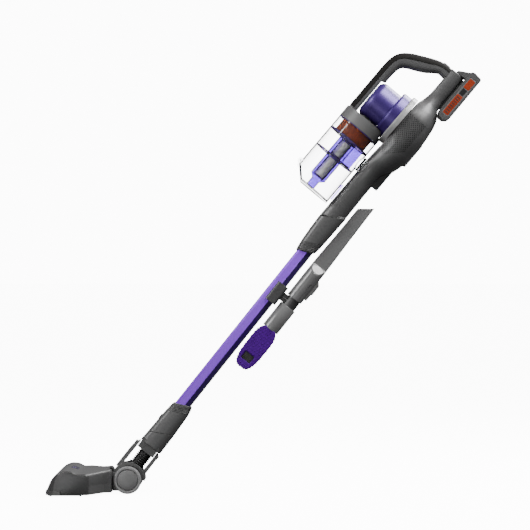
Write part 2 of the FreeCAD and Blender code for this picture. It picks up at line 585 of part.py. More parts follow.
def brush_pad():
    """The rubber pad over the brush head's face and round its rim."""
    pad = slab(PAD_FACE, -17, -3).cut(slab(HEAD_FACE, -11.05, 0))
    return pad.cut(box(23.5, 46.5, -18, -10, 341.5, 358.5)).cut(rod_z(18.1, 400, 430, TOOL_X))


def wand():
    bore = tube_prism(TUBE_FOOT - 1, TUBE_TOP + 1, TUBE_WALL)
    save("wand_tube", tube_prism(TUBE_FOOT, TUBE_TOP).cut(bore), WAND_LEAN)
    save("wire_channel", box(4.45, 7, -7, 7, TUBE_FOOT, TUBE_TOP), WAND_LEAN)
    save("upper_cuff", upper_cuff(), WAND_LEAN)
    save("lower_cuff", lower_cuff(), WAND_LEAN)
    save("accessory_clip", accessory_clip(), WAND_LEAN)
    save("upper_button", rod_x(7, -30.6, -25.4, 0, 640), WAND_LEAN)
    save("lower_button", rod_x(6, -30.4, -25.4, 0, 145), WAND_LEAN)
    save("crevice_tool", crevice_tool(), WAND_LEAN)
    save("brush_tool", brush_tool(), WAND_LEAN)
    save("brush_pad", brush_pad(), WAND_LEAN)


# ---- neck and fork ----
def neck_duct():
    """Socket for the wand, with a narrow round foot that rocks between the fork's arms."""
    upper = loft([(83.6, -31.6, 18.8, 20.5, 13.0), (106.0, -30.6, 18.0, 20.0, 12.0),
                  (140.0, -29.4, 16.6, 19.4, 11.5)])
    low_joint = [(x, z - JOINT_GAP) for x, z in NECK_JOINT]
    upper = upper.cut(half_space(low_joint, 1))
    foot = box(-28.6, 11.6, -19, 19, 62, 90).common(rod_x(19, -28.6, 11.6, 0, 80))
    relief = [rod_x(FORK_HALF - 1.6, x0, x1, 0, STEER_Z) for x0, x1 in ((-45, -28.6), (11.6, 30))]
    body = upper.cut(relief[0]).cut(relief[1]).fuse(foot.cut(box(-40, 30, -30, 30, 50, 69.5)))
    pins = rod_x(3, -36.6, -28, 0, STEER_Z).fuse(rod_x(3, 11, 20.2, 0, STEER_Z))
    return body.fuse(pins).cut(rod_z(NECK_SPIGOT_R + GAP, 60, 150, WAND_X + 1)).removeSplitter()


FRONT_ARM = [(-38, FORK_Z), (-38, 64), (-36, 73), (-32.6, 80.5), (-29, 83.8), (-29, FORK_Z)]
BACK_ARM = [(12.2, FORK_Z), (12.2, 83.8), (15, 82.8), (18.6, 79), (20, 70), (20, FORK_Z)]


def fork_arm(side):
    """One upright arm of the fork, rounded about the steering axis."""
    radius = FORK_HALF - 2.2
    arm = box(-40, 30, -radius, radius, FORK_Z, STEER_Z).fuse(rod_x(radius, -40, 30, 0, STEER_Z))
    arm = arm.common(slab(side, -radius, radius)).cut(rod_x(3 + RUNNING, -41, 31, 0, STEER_Z))
    return arm.cut(rod_y(DRUM_R + 2, -30, 30, FORK_X, FORK_Z))


def sector(radius_out, radius_in, from_deg, to_deg, half):
    """An arc-shaped shell about the pitch axle, angles from the back towards the top."""
    def at(radius, degrees):
        turn = math.radians(degrees)
        return FORK_X + radius * math.cos(turn), FORK_Z + radius * math.sin(turn)
    middle = (from_deg + to_deg) / 2.0
    points = [at(radius_out, from_deg), at(radius_out, middle) + ("arc",), at(radius_out, to_deg),
              at(radius_in, to_deg), at(radius_in, middle) + ("arc",), at(radius_in, from_deg)]
    return slab(points, -half, half)


def fork():
    """Hood over the swivel drum, with two arms, bearing cheeks and the hose collar."""
    hood = sector(HOOD_R, DRUM_R + 0.8, 35, 186, 25)
    cheeks = [rod_y(DRUM_R - 0.6, y0, y1, FORK_X, FORK_Z) for y0, y1 in ((-25, -22.4), (22.4, 25))]
    webs = [sector(HOOD_R, DRUM_R - 4, 35, 186, 25).common(box(-60, 60, y0, y1, -60, 60))
            for y0, y1 in ((-25, -22.4), (22.4, 25))]
    arms = [fork_arm(FRONT_ARM), fork_arm(BACK_ARM)]
    collar = rod_z(HOSE_R + 2.2, 28, 39, HOSE_X)
    body = fused(hood, *cheeks, *webs, *arms, collar.cut(rod_y(DRUM_R + 0.8, -30, 30, FORK_X, FORK_Z)))
    body = body.cut(rod_z(HOSE_R - 2.2, 20, 40, HOSE_X)).cut(rod_z(HOSE_R + 0.2, 36, 45, HOSE_X))
    return body.cut(rod_y(TRUNNION_R + RUNNING, -30, 30, FORK_X, FORK_Z))


def hose():
    """Corrugated hose: alternating wide and narrow rings, bored through."""
    foot, top, pitch = 36.2, 69.4, 4.7
    body = rod_z(HOSE_R - 2.2, foot, top, HOSE_X)
    z = foot
    while z + 2.6 <= top:
        body = body.fuse(rod_z(HOSE_R, z, z + 2.6, HOSE_X))
        z += pitch
    return body.cut(rod_z(HOSE_R - 3.8, foot - 1, top + 1, HOSE_X)).removeSplitter()


def neck():
    save("neck_duct", neck_duct(), WAND_LEAN)
    save("flexible_hose", hose(), WAND_LEAN)
    save("fork", fork(), WAND_LEAN)


# ---- floor head (level) ----
PLAN = [(HEAD_FRONT, 112), (HEAD_FRONT + 5, 120.5), (HEAD_FRONT + 14, HEAD_HALF), (-74, HEAD_HALF),
        (-44, 68), (HEAD_BACK, 61)]
PROFILE = [(HEAD_FRONT, BASE_FOOT), (HEAD_FRONT, -8), (-143, 17, "arc"), (-117.6, 28.7), (-106, 27.6, "arc"),
           (-96, 22.4), (-55, 24.0), (HEAD_BACK, 27.0), (HEAD_BACK, BASE_FOOT)]
SEAM = [(-200, -13), (-150, -11), (-111, -2.5), (-60, -1.5), (0, -0.5)]


def plan_prism(inset=0.0):
    """The head's outline from above: straight front, ends tapering in towards the wheels."""
    near = [(x, -y) for x, y in reversed(PLAN)]
    wire = Part.makePolygon([Vector(x, y, -60) for x, y in PLAN + near + PLAN[:1]])
    if inset:
        wire = wire.makeOffset2D(-inset)
    return Part.Face(wire).extrude(Vector(0, 0, 120))


def head_inside():
    """The hollow of the head, one wall thickness in from its skin."""
    t = 2.4
    profile = [(HEAD_FRONT + t, BASE_FOOT + t), (HEAD_FRONT + t, -8), (-141.5, 15.2, "arc"),
               (-117.6, 28.7 - t), (-107, 25.4, "arc"), (-97, 22.4 - t), (-55, 24.0 - t),
               (HEAD_BACK - t, 27.0 - t), (HEAD_BACK - t, BASE_FOOT + t)]
    return slab(profile, -HEAD_HALF, HEAD_HALF).common(plan_prism(2.4))


def fork_room():
    """The space the fork and hood sweep through, behind and under the head's back edge."""
    return fused(rod_y(HOOD_R + 6.2, -26.5, 26.5, AXLE_X, AXLE_Z), box(-36, 40, -26.5, 26.5, 0, 60))


def above_seam():
    return slab(SEAM + [(0, 60), (-200, 60)], -140, 140)


def head_body():
    """Top cover, base and end caps, all cut from one rounded body."""
    skin = slab(PROFILE, -HEAD_HALF, HEAD_HALF).common(plan_prism())
    shell = skin.cut(head_inside())
    room = fork_room()
    ends = [box(-160, -60, y0, y1, -40, 60) for y0, y1 in
            ((-130, CAP_THICK - HEAD_HALF), (HEAD_HALF - CAP_THICK, 130))]
    middle = shell.cut(ends[0]).cut(ends[1])
    top = middle.common(above_seam()).cut(room).cut(cheek(-1)).cut(cheek(1))
    window = box(-114, -98, -26, 26, 18, 40)
    mouth = box(MOUTH_FRONT, MOUTH_BACK, -MOUTH_HALF, MOUTH_HALF, -40, -10)
    tongue = box(-60, -20, -20.4, 20.4, -18.4, -3.6)
    base = middle.cut(above_seam()).cut(room).cut(mouth).cut(tongue)
    return top, top.common(window), base, [skin.common(end) for end in ends]


def swivel_drum():
    """Hollow drum on the pitch axle, its trunnions, and the duct tongue into the head."""
    drum = rod_y(DRUM_R, -22, 22, AXLE_X, AXLE_Z)
    tongue = box(-52, AXLE_X - 8, -20, 20, -18, -4)
    trunnions = [rod_y(TRUNNION_R, y0, y1, AXLE_X, AXLE_Z) for y0, y1 in ((-57, -22), (22, 57))]
    body = fused(drum, tongue, *trunnions)
    body = body.cut(rod_y(DRUM_R - 3, -19, 19, AXLE_X, AXLE_Z))
    body = body.cut(box(-53, AXLE_X - 8, -17.6, 17.6, -15.6, -6.4))
    return body.cut(box(AXLE_X - 12, AXLE_X + 26, -14, 14, AXLE_Z + 8, AXLE_Z + 40))


def cheek(side):
    """Arm from the head's back edge that carries a trunnion between fork and wheel."""
    y0, y1 = sorted((28.0 * side, 41.5 * side))
    body = fused(box(-44, AXLE_X, y0, y1, -17.5, 20), rod_y(15, y0, y1, AXLE_X, AXLE_Z))
    return body.cut(rod_y(TRUNNION_R, y0 - 1, y1 + 1, AXLE_X, AXLE_Z))


def brush_roll():
    """Core with helical rows of bristles between two spindles."""
    core = rod_y(ROLL_R, -ROLL_HALF, ROLL_HALF, ROLL_X, ROLL_Z)
    core = core.cut(rod_y(ROLL_R - 3, -ROLL_HALF + 4, ROLL_HALF - 4, ROLL_X, ROLL_Z))
    core = fused(core, rod_y(3, -ROLL_HALF - 6, -ROLL_HALF + 5, ROLL_X, ROLL_Z),
                 rod_y(3, ROLL_HALF - 5, ROLL_HALF + 6, ROLL_X, ROLL_Z),
                 rod_y(9, ROLL_HALF, ROLL_HALF + 1.0, ROLL_X, ROLL_Z))
    strips = []
    rows, pieces = 4, 10
    for row in range(rows):
        for piece in range(pieces):
            y = -ROLL_HALF + 3 + piece * (2 * ROLL_HALF - 6) / pieces
            strip = box(ROLL_X - 1.5, ROLL_X + 1.5, y, y + 20.2, ROLL_Z + ROLL_R + 0.05, ROLL_Z + BRISTLE_R)
            turn = row * 360.0 / rows + abs(piece - (pieces - 1) / 2.0) * 12
            strip.rotate(Vector(ROLL_X, 0, ROLL_Z), ACROSS, turn)
            strips.append(strip)
    return core, Part.Compound(strips)


def drive_belt():
    """A flat belt from the motor pinion to the brush roll."""
    def around(grow):
        loop = rod_y(9 + grow, 112.4, 117.4, ROLL_X, ROLL_Z)
        loop = loop.fuse(rod_y(5 + grow, 112.4, 117.4, BELT_MOTOR_X, BELT_MOTOR_Z))
        strip = slab([(ROLL_X, ROLL_Z - 9 - grow), (BELT_MOTOR_X, BELT_MOTOR_Z - 5 - grow),
                      (BELT_MOTOR_X, BELT_MOTOR_Z + 5 + grow), (ROLL_X, ROLL_Z + 9 + grow)], 112.4, 117.4)
        return loop.fuse(strip)
    return around(1.6).cut(around(0.3)).removeSplitter()


def wheel(side):
    """Wheel and its pressed-in cap, turning on a trunnion."""
    y0, y1 = sorted((WHEEL_IN * side, WHEEL_OUT * side))
    rim = rod_y(WHEEL_R, y0, y1, AXLE_X, AXLE_Z)
    recess0, recess1 = sorted(((WHEEL_OUT - 3.0) * side, (WHEEL_OUT + 1) * side))
    rim = rim.cut(rod_y(21.5, recess0, recess1, AXLE_X, AXLE_Z))
    rim = rim.cut(rod_y(TRUNNION_R + RUNNING, y0 - 1, y1 + 1, AXLE_X, AXLE_Z))
    cap0, cap1 = sorted(((WHEEL_OUT - 2.9) * side, (WHEEL_OUT - 0.6) * side))
    cap = rod_y(21.3, cap0, cap1, AXLE_X, AXLE_Z)
    return Part.Compound([rim, cap.cut(rod_y(TRUNNION_R + 1, y0, y1, AXLE_X, AXLE_Z))])


def floor_head():
    top, window, base, caps = head_body()
    save("head_top_cover", top.cut(window), HEAD_LEAN)
    save("brush_window", window, HEAD_LEAN)
    bearings = [box(ROLL_X - 9, ROLL_X + 9, y0, y1, -17.2, 13).cut(
        rod_y(3 + RUNNING, y0 - 1, y1 + 1, ROLL_X, ROLL_Z)) for y0, y1 in ((-112.2, -107.2), (107.3, 112.2))]
    save("head_base", fused(base, cheek(-1), cheek(1), *bearings), HEAD_LEAN)
    save("end_caps", Part.Compound(caps), HEAD_LEAN)
    save("swivel_drum", swivel_drum(), HEAD_LEAN)

    sole = box(-153, -86, -116, 116, SOLE_FOOT, BASE_FOOT - 0.05).common(plan_prism(1.0))
    sole = sole.cut(box(MOUTH_FRONT, MOUTH_BACK, -MOUTH_HALF, MOUTH_HALF, -40, 0))
    save("sole_plate", sole, HEAD_LEAN)
    strips = [box(x, x + 4, -104, 104, FLOOR, SOLE_FOOT) for x in (-150.5, -90.5)]
    save("glide_strips", Part.Compound(strips), HEAD_LEAN)
    bumper = plan_prism(-3.0).cut(plan_prism(-0.1)).common(box(-170, -128, -140, 140, -19.5, -11))
    save("front_bumper", bumper, HEAD_LEAN)

    core, bristles = brush_roll()
    save("brush_roll_core", core, HEAD_LEAN)
    save("brush_bristles", bristles, HEAD_LEAN)
    save("drive_belt", drive_belt(), HEAD_LEAN)
    axis = (BELT_MOTOR_X, BELT_MOTOR_Z)
    motor = rod_y(9.5, 40, 106, *axis).cut(rod_y(2 + RUNNING, 100, 107, *axis))
    save("brush_motor", motor, HEAD_LEAN)
    pinion = fused(rod_y(2, 101, 113, *axis), rod_y(5, 112.4, 117.4, *axis))
    save("motor_pinion", pinion, HEAD_LEAN)
    for name, side in (("left", -1), ("right", 1)):
        save(name + "_wheel", wheel(side), HEAD_LEAN)


os.makedirs("parts", exist_ok=True)
handheld()
dust_bin()
battery()
wand()
neck()
floor_head()
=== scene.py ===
import json
import math
import random

import bmesh
import bpy
from mathutils import Matrix, Vector


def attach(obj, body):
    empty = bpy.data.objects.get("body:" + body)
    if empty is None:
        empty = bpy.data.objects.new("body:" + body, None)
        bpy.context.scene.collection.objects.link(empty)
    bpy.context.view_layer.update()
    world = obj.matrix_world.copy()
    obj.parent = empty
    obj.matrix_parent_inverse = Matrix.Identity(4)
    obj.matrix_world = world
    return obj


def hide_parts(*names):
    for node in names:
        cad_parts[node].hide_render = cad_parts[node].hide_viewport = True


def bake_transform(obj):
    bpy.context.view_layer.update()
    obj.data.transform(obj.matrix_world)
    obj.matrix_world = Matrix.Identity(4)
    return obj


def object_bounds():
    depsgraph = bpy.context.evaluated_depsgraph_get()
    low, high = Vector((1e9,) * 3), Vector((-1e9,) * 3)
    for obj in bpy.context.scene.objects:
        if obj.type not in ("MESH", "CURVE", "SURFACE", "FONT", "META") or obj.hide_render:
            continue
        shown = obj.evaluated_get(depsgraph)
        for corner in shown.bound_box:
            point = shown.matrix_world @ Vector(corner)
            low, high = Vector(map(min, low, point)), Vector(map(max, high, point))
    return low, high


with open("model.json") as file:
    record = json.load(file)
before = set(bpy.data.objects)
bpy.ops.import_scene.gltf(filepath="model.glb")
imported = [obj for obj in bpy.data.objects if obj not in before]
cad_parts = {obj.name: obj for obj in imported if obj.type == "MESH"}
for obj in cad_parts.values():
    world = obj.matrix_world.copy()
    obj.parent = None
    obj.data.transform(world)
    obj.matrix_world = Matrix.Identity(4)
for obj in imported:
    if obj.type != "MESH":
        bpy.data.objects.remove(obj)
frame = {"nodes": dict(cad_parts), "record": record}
cad_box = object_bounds()
nodes = frame["nodes"]

# Lengths below are in millimetres, in each unit's own upright frame: x back, y across, z up the
# stick. The three placements lean a unit into the row frame, whose origin is the hand grip.
MM = 0.001
HAND_LEAN, WAND_LEAN = 40.3, 38.6
GRIP_X, GRIP_Z = -106.0, 1028.0
MOTOR = (0, 0, 917.5)
JACK = (0, 0, 800)
BIN_X = -104.0
BIN = (BIN_X, 0, 0)
TOOL_X = 35.0
TOOL = (TOOL_X, 0, 0)
STEER = (0, 0, 74)
HOSE_X = -5.5
HOSE = (HOSE_X, 0, 0)
PITCH_X, PITCH_Z = -0.6, 5.4
PITCH = (PITCH_X, 0, PITCH_Z)
WHEEL_AXLE = (2.9, 0, 4.6)


def leaned(x, z, degrees):
    """A point of an upright frame, leaned back."""
    turn = math.radians(degrees)
    return Vector((x * math.cos(turn) + z * math.sin(turn), 0,
                   -x * math.sin(turn) + z * math.cos(turn)))


GRIP = leaned(GRIP_X, GRIP_Z, HAND_LEAN) * MM


def upright(degrees):
    """The placement of an upright frame that leans by so many degrees."""
    return Matrix.Translation(-GRIP) @ Matrix.Rotation(math.radians(degrees), 4, "Y")


HAND, WAND, LEVEL = upright(HAND_LEAN), upright(WAND_LEAN), upright(0.0)


# ---- shape helpers: each returns a bmesh in millimetres ----
def mesh_of(points, faces):
    """A shape from points and faces; a face given twice is left out."""
    bm = bmesh.new()
    verts = [bm.verts.new(p) for p in points]
    for face in faces:
        try:
            bm.faces.new([verts[i] for i in face])
        except ValueError:
            pass
    return tidy(bm)


def tidy(bm):
    """Welds what coincides and turns the faces outwards."""
    bmesh.ops.remove_doubles(bm, verts=bm.verts, dist=0.004)
    bmesh.ops.dissolve_degenerate(bm, edges=bm.edges, dist=0.002)
    bmesh.ops.recalc_face_normals(bm, faces=bm.faces)
    return bm


def skin(rings, loop=False):
    """A body through closed rings of equal count; loop joins the last ring to the first."""
    count = len(rings[0])
    points = [p for ring in rings for p in ring]
    faces = []
    last = len(rings) if loop else len(rings) - 1
    for i in range(last):
        a, b = i * count, ((i + 1) % len(rings)) * count
        for k in range(count):
            n = (k + 1) % count
            faces.append((a + k, a + n, b + n, b + k))
    if not loop:
        faces.append(tuple(range(count)))
        faces.append(tuple(range(len(points) - count, len(points))))
    return mesh_of(points, faces)


def rounded(points, steps=5):
    """A closed outline with filleted corners: each point is (a, b) or (a, b, radius)."""
    result = []
    count = len(points)
    for i, point in enumerate(points):
        here = Vector(point[:2])
        radius = point[2] if len(point) > 2 else 0.0
        if radius <= 0:
            result.append(tuple(here))
            continue
        before = Vector(points[i - 1][:2]) - here
        after = Vector(points[(i + 1) % count][:2]) - here
        half = before.angle(after) / 2
        reach = min(radius / math.tan(half), before.length * 0.49, after.length * 0.49)
        radius = reach * math.tan(half)
        middle = here + (before.normalized() + after.normalized()).normalized() * (radius / math.sin(half))
        start = here + before.normalized() * reach - middle
        sweep = math.pi - 2 * half
        side = 1 if start.cross(here + after.normalized() * reach - middle) > 0 else -1
        for s in range(steps + 1):
            turned = Matrix.Rotation(side * sweep * s / steps, 2) @ start
            result.append(tuple(middle + turned))
    return result


def rect(a0, a1, b0, b1, low=0.0, high=None, steps=5):
    """A rectangle with corners of radius low at b0 and high, or low again, at b1."""
    high = low if high is None else high
    return rounded([(a0, b0, low), (a1, b0, low), (a1, b1, high), (a0, b1, high)], steps)


def polar(radius, angle, a=0.0, b=0.0):
    """A point at an angle on a circle about (a, b)."""
    return (a + radius * math.cos(angle), b + radius * math.sin(angle))


def signed_power(value, exponent):
    """A power that keeps the sign, which squares off a sine or cosine."""
    return math.copysign(abs(value) ** exponent, value)


def turned(profile, axis, centre, steps=96, radii=5):
    """Spins a closed (radius, height) outline about an axis through centre."""
    outline = rounded(profile, radii)
    rings = []
    for s in range(steps):
        angle = 2 * math.pi * s / steps
        c, w = math.cos(angle), math.sin(angle)
        if axis == "x":
            ring = [(h, centre[1] + r * c, centre[2] + r * w) for r, h in outline]
        elif axis == "y":
            ring = [(centre[0] + r * c, h, centre[2] + r * w) for r, h in outline]
        else:
            ring = [(centre[0] + r * c, centre[1] + r * w, h) for r, h in outline]
        rings.append(ring)
    return skin(rings, loop=True)


def slab(outline, y0, y1):
    """An x-z outline extruded across the stick."""
    near = [(x, y0, z) for x, z in outline]
    far = [(x, y1, z) for x, z in outline]
    return skin([near, far])


def prism(outline, z0, z1):
    """An x-y outline extruded upwards."""
    return skin([[(x, y, z0) for x, y in outline], [(x, y, z1) for x, y in outline]])


def plate(outline, x0, x1):
    """A y-z outline extruded along x."""
    return skin([[(x0, y, z) for y, z in outline], [(x1, y, z) for y, z in outline]])


def joined(*parts):
    """Several shapes as one, without a boolean."""
    whole = bmesh.new()
    for part in parts:
        mesh = bpy.data.meshes.new("part")
        part.to_mesh(mesh)
        whole.from_mesh(mesh)
        bpy.data.meshes.remove(mesh)
        part.free()
    return whole


def mirrored(bm):
    """The same shape on the other side of the stick."""
    copy = bm.copy()
    for v in copy.verts:
        v.co.y = -v.co.y
    bmesh.ops.reverse_faces(copy, faces=copy.faces)
    return copy


def halved(bm, point, normal):
    """Keeps what lies against the normal, and closes the cut."""
    geometry = bm.verts[:] + bm.edges[:] + bm.faces[:]
    made = bmesh.ops.bisect_plane(bm, geom=geometry, dist=0.0005, plane_co=point, plane_no=normal,
                                  clear_outer=True)
    edges = [e for e in made["geom_cut"] if isinstance(e, bmesh.types.BMEdge)]
    bmesh.ops.holes_fill(bm, edges=edges, sides=0)
    bmesh.ops.recalc_face_normals(bm, faces=bm.faces)
    return bm


def combined(bm, operation, *tools):
    """The exact boolean of a shape with others."""
    objects = []
    for shape in (bm,) + tools:
        mesh = bpy.data.meshes.new("part")
        shape.to_mesh(mesh)
        shape.free()
        obj = bpy.data.objects.new("part", mesh)
        bpy.context.scene.collection.objects.link(obj)
        objects.append(obj)
    for tool in objects[1:]:
        modifier = objects[0].modifiers.new("cut", "BOOLEAN")
        modifier.operation = operation
        modifier.solver = "EXACT"
        modifier.object = tool
    bpy.context.view_layer.update()
    graph = bpy.context.evaluated_depsgraph_get()
    result = bpy.data.meshes.new_from_object(objects[0].evaluated_get(graph))
    made = bmesh.new()
    made.from_mesh(result)
    bpy.data.meshes.remove(result)
    for obj in objects:
        mesh = obj.data
        bpy.data.objects.remove(obj)
        bpy.data.meshes.remove(mesh)
    bmesh.ops.remove_doubles(made, verts=made.verts, dist=0.003)
    return made


def cut(bm, *tools):
    """A shape less others."""
    return combined(bm, "DIFFERENCE", *tools)


def along(table, z):
    """The row of a table at height z, eased smoothly between its rows."""
    rows = len(table)
    if z <= table[0][0]:
        return list(table[0][1:])
    if z >= table[-1][0]:
        return list(table[-1][1:])
    i = max(k for k in range(rows - 1) if table[k][0] <= z)
    h = table[i + 1][0] - table[i][0]
    t = (z - table[i][0]) / h
    out = []
    for c in range(1, len(table[0])):
        def slope(k):
            if k < 0 or k >= rows - 1:
                return None
            return (table[k + 1][c] - table[k][c]) / (table[k + 1][0] - table[k][0])

        def tangent(k):
            a, b = slope(k - 1), slope(k)
            if a is None or b is None:
                return (b if a is None else a) or 0.0
            return 0.0 if a * b <= 0 else 2 * a * b / (a + b)
        p0, p1, m0, m1 = table[i][c], table[i + 1][c], tangent(i) * h, tangent(i + 1) * h
        out.append((2 * t**3 - 3 * t**2 + 1) * p0 + (t**3 - 2 * t**2 + t) * m0
                   + (3 * t**2 - 2 * t**3) * p1 + (t**3 - t**2) * m1)
    return out


def oval(x0, x1, half, power, z, slope=0.0, grow=0.0):
    """A soft-cornered section lying across the stick; slope tips it about its middle."""
    cx, a, b = (x0 + x1) / 2, (x1 - x0) / 2 + grow, half + grow
    count = 56
    ring = []
    for k in range(count):
        angle = 2 * math.pi * (k + 0.5) / count
        c, s = math.cos(angle), math.sin(angle)
        x = cx + a * signed_power(c, 2 / power)
        y = b * signed_power(s, 2 / power)
        ring.append((x, y, z + slope * (x - cx)))
    return ring


# ---- pieces ----
def piece(name, bm, place, body, slot, covers=(), bevel=0.0, segments=3, angle=35, weighted=True,
          look=None):
    """A finished object from a bmesh in millimetres, in place, riding its body. look is its
    material where that isn't the slot's own."""
    bmesh.ops.scale(bm, vec=(MM, MM, MM), verts=bm.verts)
    bm.transform(place)
    mesh = bpy.data.meshes.new(name)
    bm.to_mesh(mesh)
    bm.free()
    mesh.shade_smooth()
    if not bevel:
        mesh.set_sharp_from_angle(angle=math.radians(38))
    obj = bpy.data.objects.new(name, mesh)
    bpy.context.scene.collection.objects.link(obj)
    soften(obj, bevel, segments, angle, weighted)
    obj.data.materials.append(MATERIALS[look or slot])
    if body:
        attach(obj, body)
    if covers:
        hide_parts(*covers)
    return obj


def soften(obj, bevel, segments=3, angle=35, weighted=True):
    """Rounds sharp edges and keeps flat faces flat."""
    if bevel:
        modifier = obj.modifiers.new("edges", "BEVEL")
        modifier.width = bevel * MM
        modifier.segments = segments
        modifier.limit_method = "ANGLE"
        modifier.angle_limit = math.radians(angle)
        modifier.use_clamp_overlap = True
        modifier.miter_outer = "MITER_ARC"
    if weighted:
        modifier = obj.modifiers.new("shading", "WEIGHTED_NORMAL")
        modifier.weight = 60
        modifier.keep_sharp = False


def polish(name, slot, bevel):
    """Finishes a carried-over node: its material, welded seams and rounded edges."""
    obj = nodes[name]
    obj.data.materials.clear()
    obj.data.materials.append(MATERIALS[slot])
    if bevel:
        weld = obj.modifiers.new("weld", "WELD")
        weld.merge_threshold = 0.00001
        planar = obj.modifiers.new("flat", "DECIMATE")
        planar.decimate_type = "DISSOLVE"
        planar.angle_limit = math.radians(0.6)
        soften(obj, bevel, 2)


# ---- materials ----
MATERIALS = {}


def surface(name, colour, rough, mottle=0.08, mottle_scale=28.0, grain=0.0, grain_scale=1500.0,
            wear=0.0, streak=None, **sockets):
    """Adds a principled material with drifting colour and roughness, fine grain and rubbed edges
    to MATERIALS. streak scales the noise along the wand's own x, y and z, for drawn surfaces, and
    sockets are constants on the shader, with _ for a space."""
    material = bpy.data.materials.new(name)
    material.use_nodes = True
    tree = material.node_tree
    shader = tree.nodes["Principled BSDF"]
    link = tree.links.new
    place = tree.nodes.new("ShaderNodeTexCoord")
    source = place.outputs["Object"]
    if streak:
        mapping = tree.nodes.new("ShaderNodeMapping")
        mapping.vector_type = "TEXTURE"
        mapping.inputs["Rotation"].default_value = WAND.to_euler()
        mapping.inputs["Scale"].default_value = [1.0 / s for s in streak]
        link(source, mapping.inputs["Vector"])
        source = mapping.outputs["Vector"]

    def noise(scale, detail):
        node = tree.nodes.new("ShaderNodeTexNoise")
        node.inputs["Scale"].default_value = scale
        node.inputs["Detail"].default_value = detail
        link(source, node.inputs["Vector"])
        return node.outputs["Fac"]

    def ramp(fac, low, high, start=0.3, end=0.7):
        node = tree.nodes.new("ShaderNodeValToRGB")
        node.color_ramp.elements[0].position = start
        node.color_ramp.elements[1].position = end
        node.color_ramp.elements[0].color = low
        node.color_ramp.elements[1].color = high
        link(fac, node.inputs["Fac"])
        return node.outputs["Color"]

    def shade(factor):
        return tuple(min(1.0, c * factor) for c in colour) + (1.0,)

    drift = noise(mottle_scale, 6.0)
    tint = ramp(drift, shade(1 - mottle), shade(1 + mottle))
    if wear:
        geometry = tree.nodes.new("ShaderNodeNewGeometry")
        edge = ramp(geometry.outputs["Pointiness"], (0, 0, 0, 1), (1, 1, 1, 1), 0.53, 0.62)
        mixed = tree.nodes.new("ShaderNodeMix")
        mixed.data_type = "RGBA"
        scaled = tree.nodes.new("ShaderNodeMath")
        scaled.operation = "MULTIPLY"
        scaled.inputs[1].default_value = wear
        link(edge, scaled.inputs[0])
        link(scaled.outputs[0], mixed.inputs["Factor"])
        link(tint, mixed.inputs["A"])
        mixed.inputs["B"].default_value = shade(2.2)
        tint = mixed.outputs["Result"]
    link(tint, shader.inputs["Base Color"])

    span = tree.nodes.new("ShaderNodeMapRange")
    span.inputs["To Min"].default_value = max(0.01, rough * 0.85)
    span.inputs["To Max"].default_value = min(1.0, rough * 1.15)
    link(noise(mottle_scale * 4, 4.0), span.inputs["Value"])
    link(span.outputs["Result"], shader.inputs["Roughness"])
    if grain:
        bump = tree.nodes.new("ShaderNodeBump")
        bump.inputs["Strength"].default_value = grain
        bump.inputs["Distance"].default_value = 0.0002
        link(noise(grain_scale, 3.0), bump.inputs["Height"])
        link(bump.outputs["Normal"], shader.inputs["Normal"])
    for socket, value in sockets.items():
        shader.inputs[socket.replace("_", " ")].default_value = value
    MATERIALS[name] = material


def paint(level, r=1.0, g=1.0, b=1.0):
    """A linear colour from a grey level and channel factors."""
    return (level * r, level * g, level * b)


# The record's slots, and looks that differ from their slot.
surface("charcoal_plastic", paint(0.065), 0.38, grain=0.15, wear=0.08)
surface("black_plastic", paint(0.01), 0.36, grain=0.2, wear=0.15)
surface("soft_grip", paint(0.008, 1.08, 1.0, 0.92), 0.7, grain=0.5, grain_scale=1900.0,
        Specular_IOR_Level=0.12)
# A light grey for the front trim ring: painted light where the rim faces the light.
surface("rim_painted_light_grey", paint(0.27), 0.3, grain=0.1, wear=0.1)
surface("collar_grey", paint(0.105), 0.4, grain=0.2, wear=0.2)
surface("purple_gloss", (0.04, 0.014, 0.15), 0.4, mottle=0.04, grain=0.03, Metallic=0.5,
        Coat_Weight=0.35, Coat_Roughness=0.36)
surface("purple_paint", (0.27, 0.07, 0.78), 0.4, mottle=0.05, grain=0.08, streak=(1.0, 1.0, 0.12),
        Specular_IOR_Level=0.25)
# A darker copy of the purple paint: painted shade, used on the tube's back chamfers and on dark lines in the
# clear bin.
surface("purple_painted_shade", (0.032, 0.008, 0.12), 0.35, mottle=0.05, grain=0.05, streak=(1.0, 1.0, 0.12))
surface("purple_tint", (0.25, 0.16, 0.56), 0.06, mottle=0.02, Transmission_Weight=0.95, IOR=1.25,
        Specular_IOR_Level=0.2)
surface("clear_plastic", (0.985, 0.985, 0.99), 0.03, mottle=0.004, Transmission_Weight=1.0, IOR=1.42,
        Specular_IOR_Level=0.12)
surface("silver_mesh", (0.8, 0.8, 0.8), 0.42, mottle=0.1, grain=0.9, grain_scale=900.0, Metallic=0.35)
surface("filter_orange", (0.27, 0.05, 0.014), 0.5, grain=0.2, Specular_IOR_Level=0.2)
surface("filter_foam", paint(0.5, 1.0, 0.97, 0.9), 0.9, grain=0.9, grain_scale=700.0)
surface("board_green", (0.01, 0.09, 0.035), 0.35, grain=0.2)
surface("cell_blue", (0.02, 0.07, 0.26), 0.3, grain=0.05)
surface("label_orange", (0.24, 0.022, 0.001), 0.5, grain=0.15, Specular_IOR_Level=0.3)
surface("label_brown", (0.06, 0.01, 0.004), 0.5, grain=0.15)
surface("tool_grey", paint(0.13), 0.24, mottle=0.02, grain=0.05)
surface("brush_purple", (0.06, 0.0, 0.19), 0.5, grain=0.3, grain_scale=1200.0, Specular_IOR_Level=0.12)
surface("roll_plastic", (0.05, 0.02, 0.14), 0.4, grain=0.2)
surface("bristle", paint(0.03), 0.7, grain=0.8, grain_scale=2400.0, streak=(1.0, 0.2, 1.0))
surface("cap_plastic", paint(0.13), 0.42, grain=0.3)
# A light grey for the painted highlight on the crevice tool's facet.
surface("painted_highlight_grey", paint(0.62), 0.3, grain=0.05)
surface("end_grey", paint(0.036), 0.4, grain=0.2, wear=0.2)
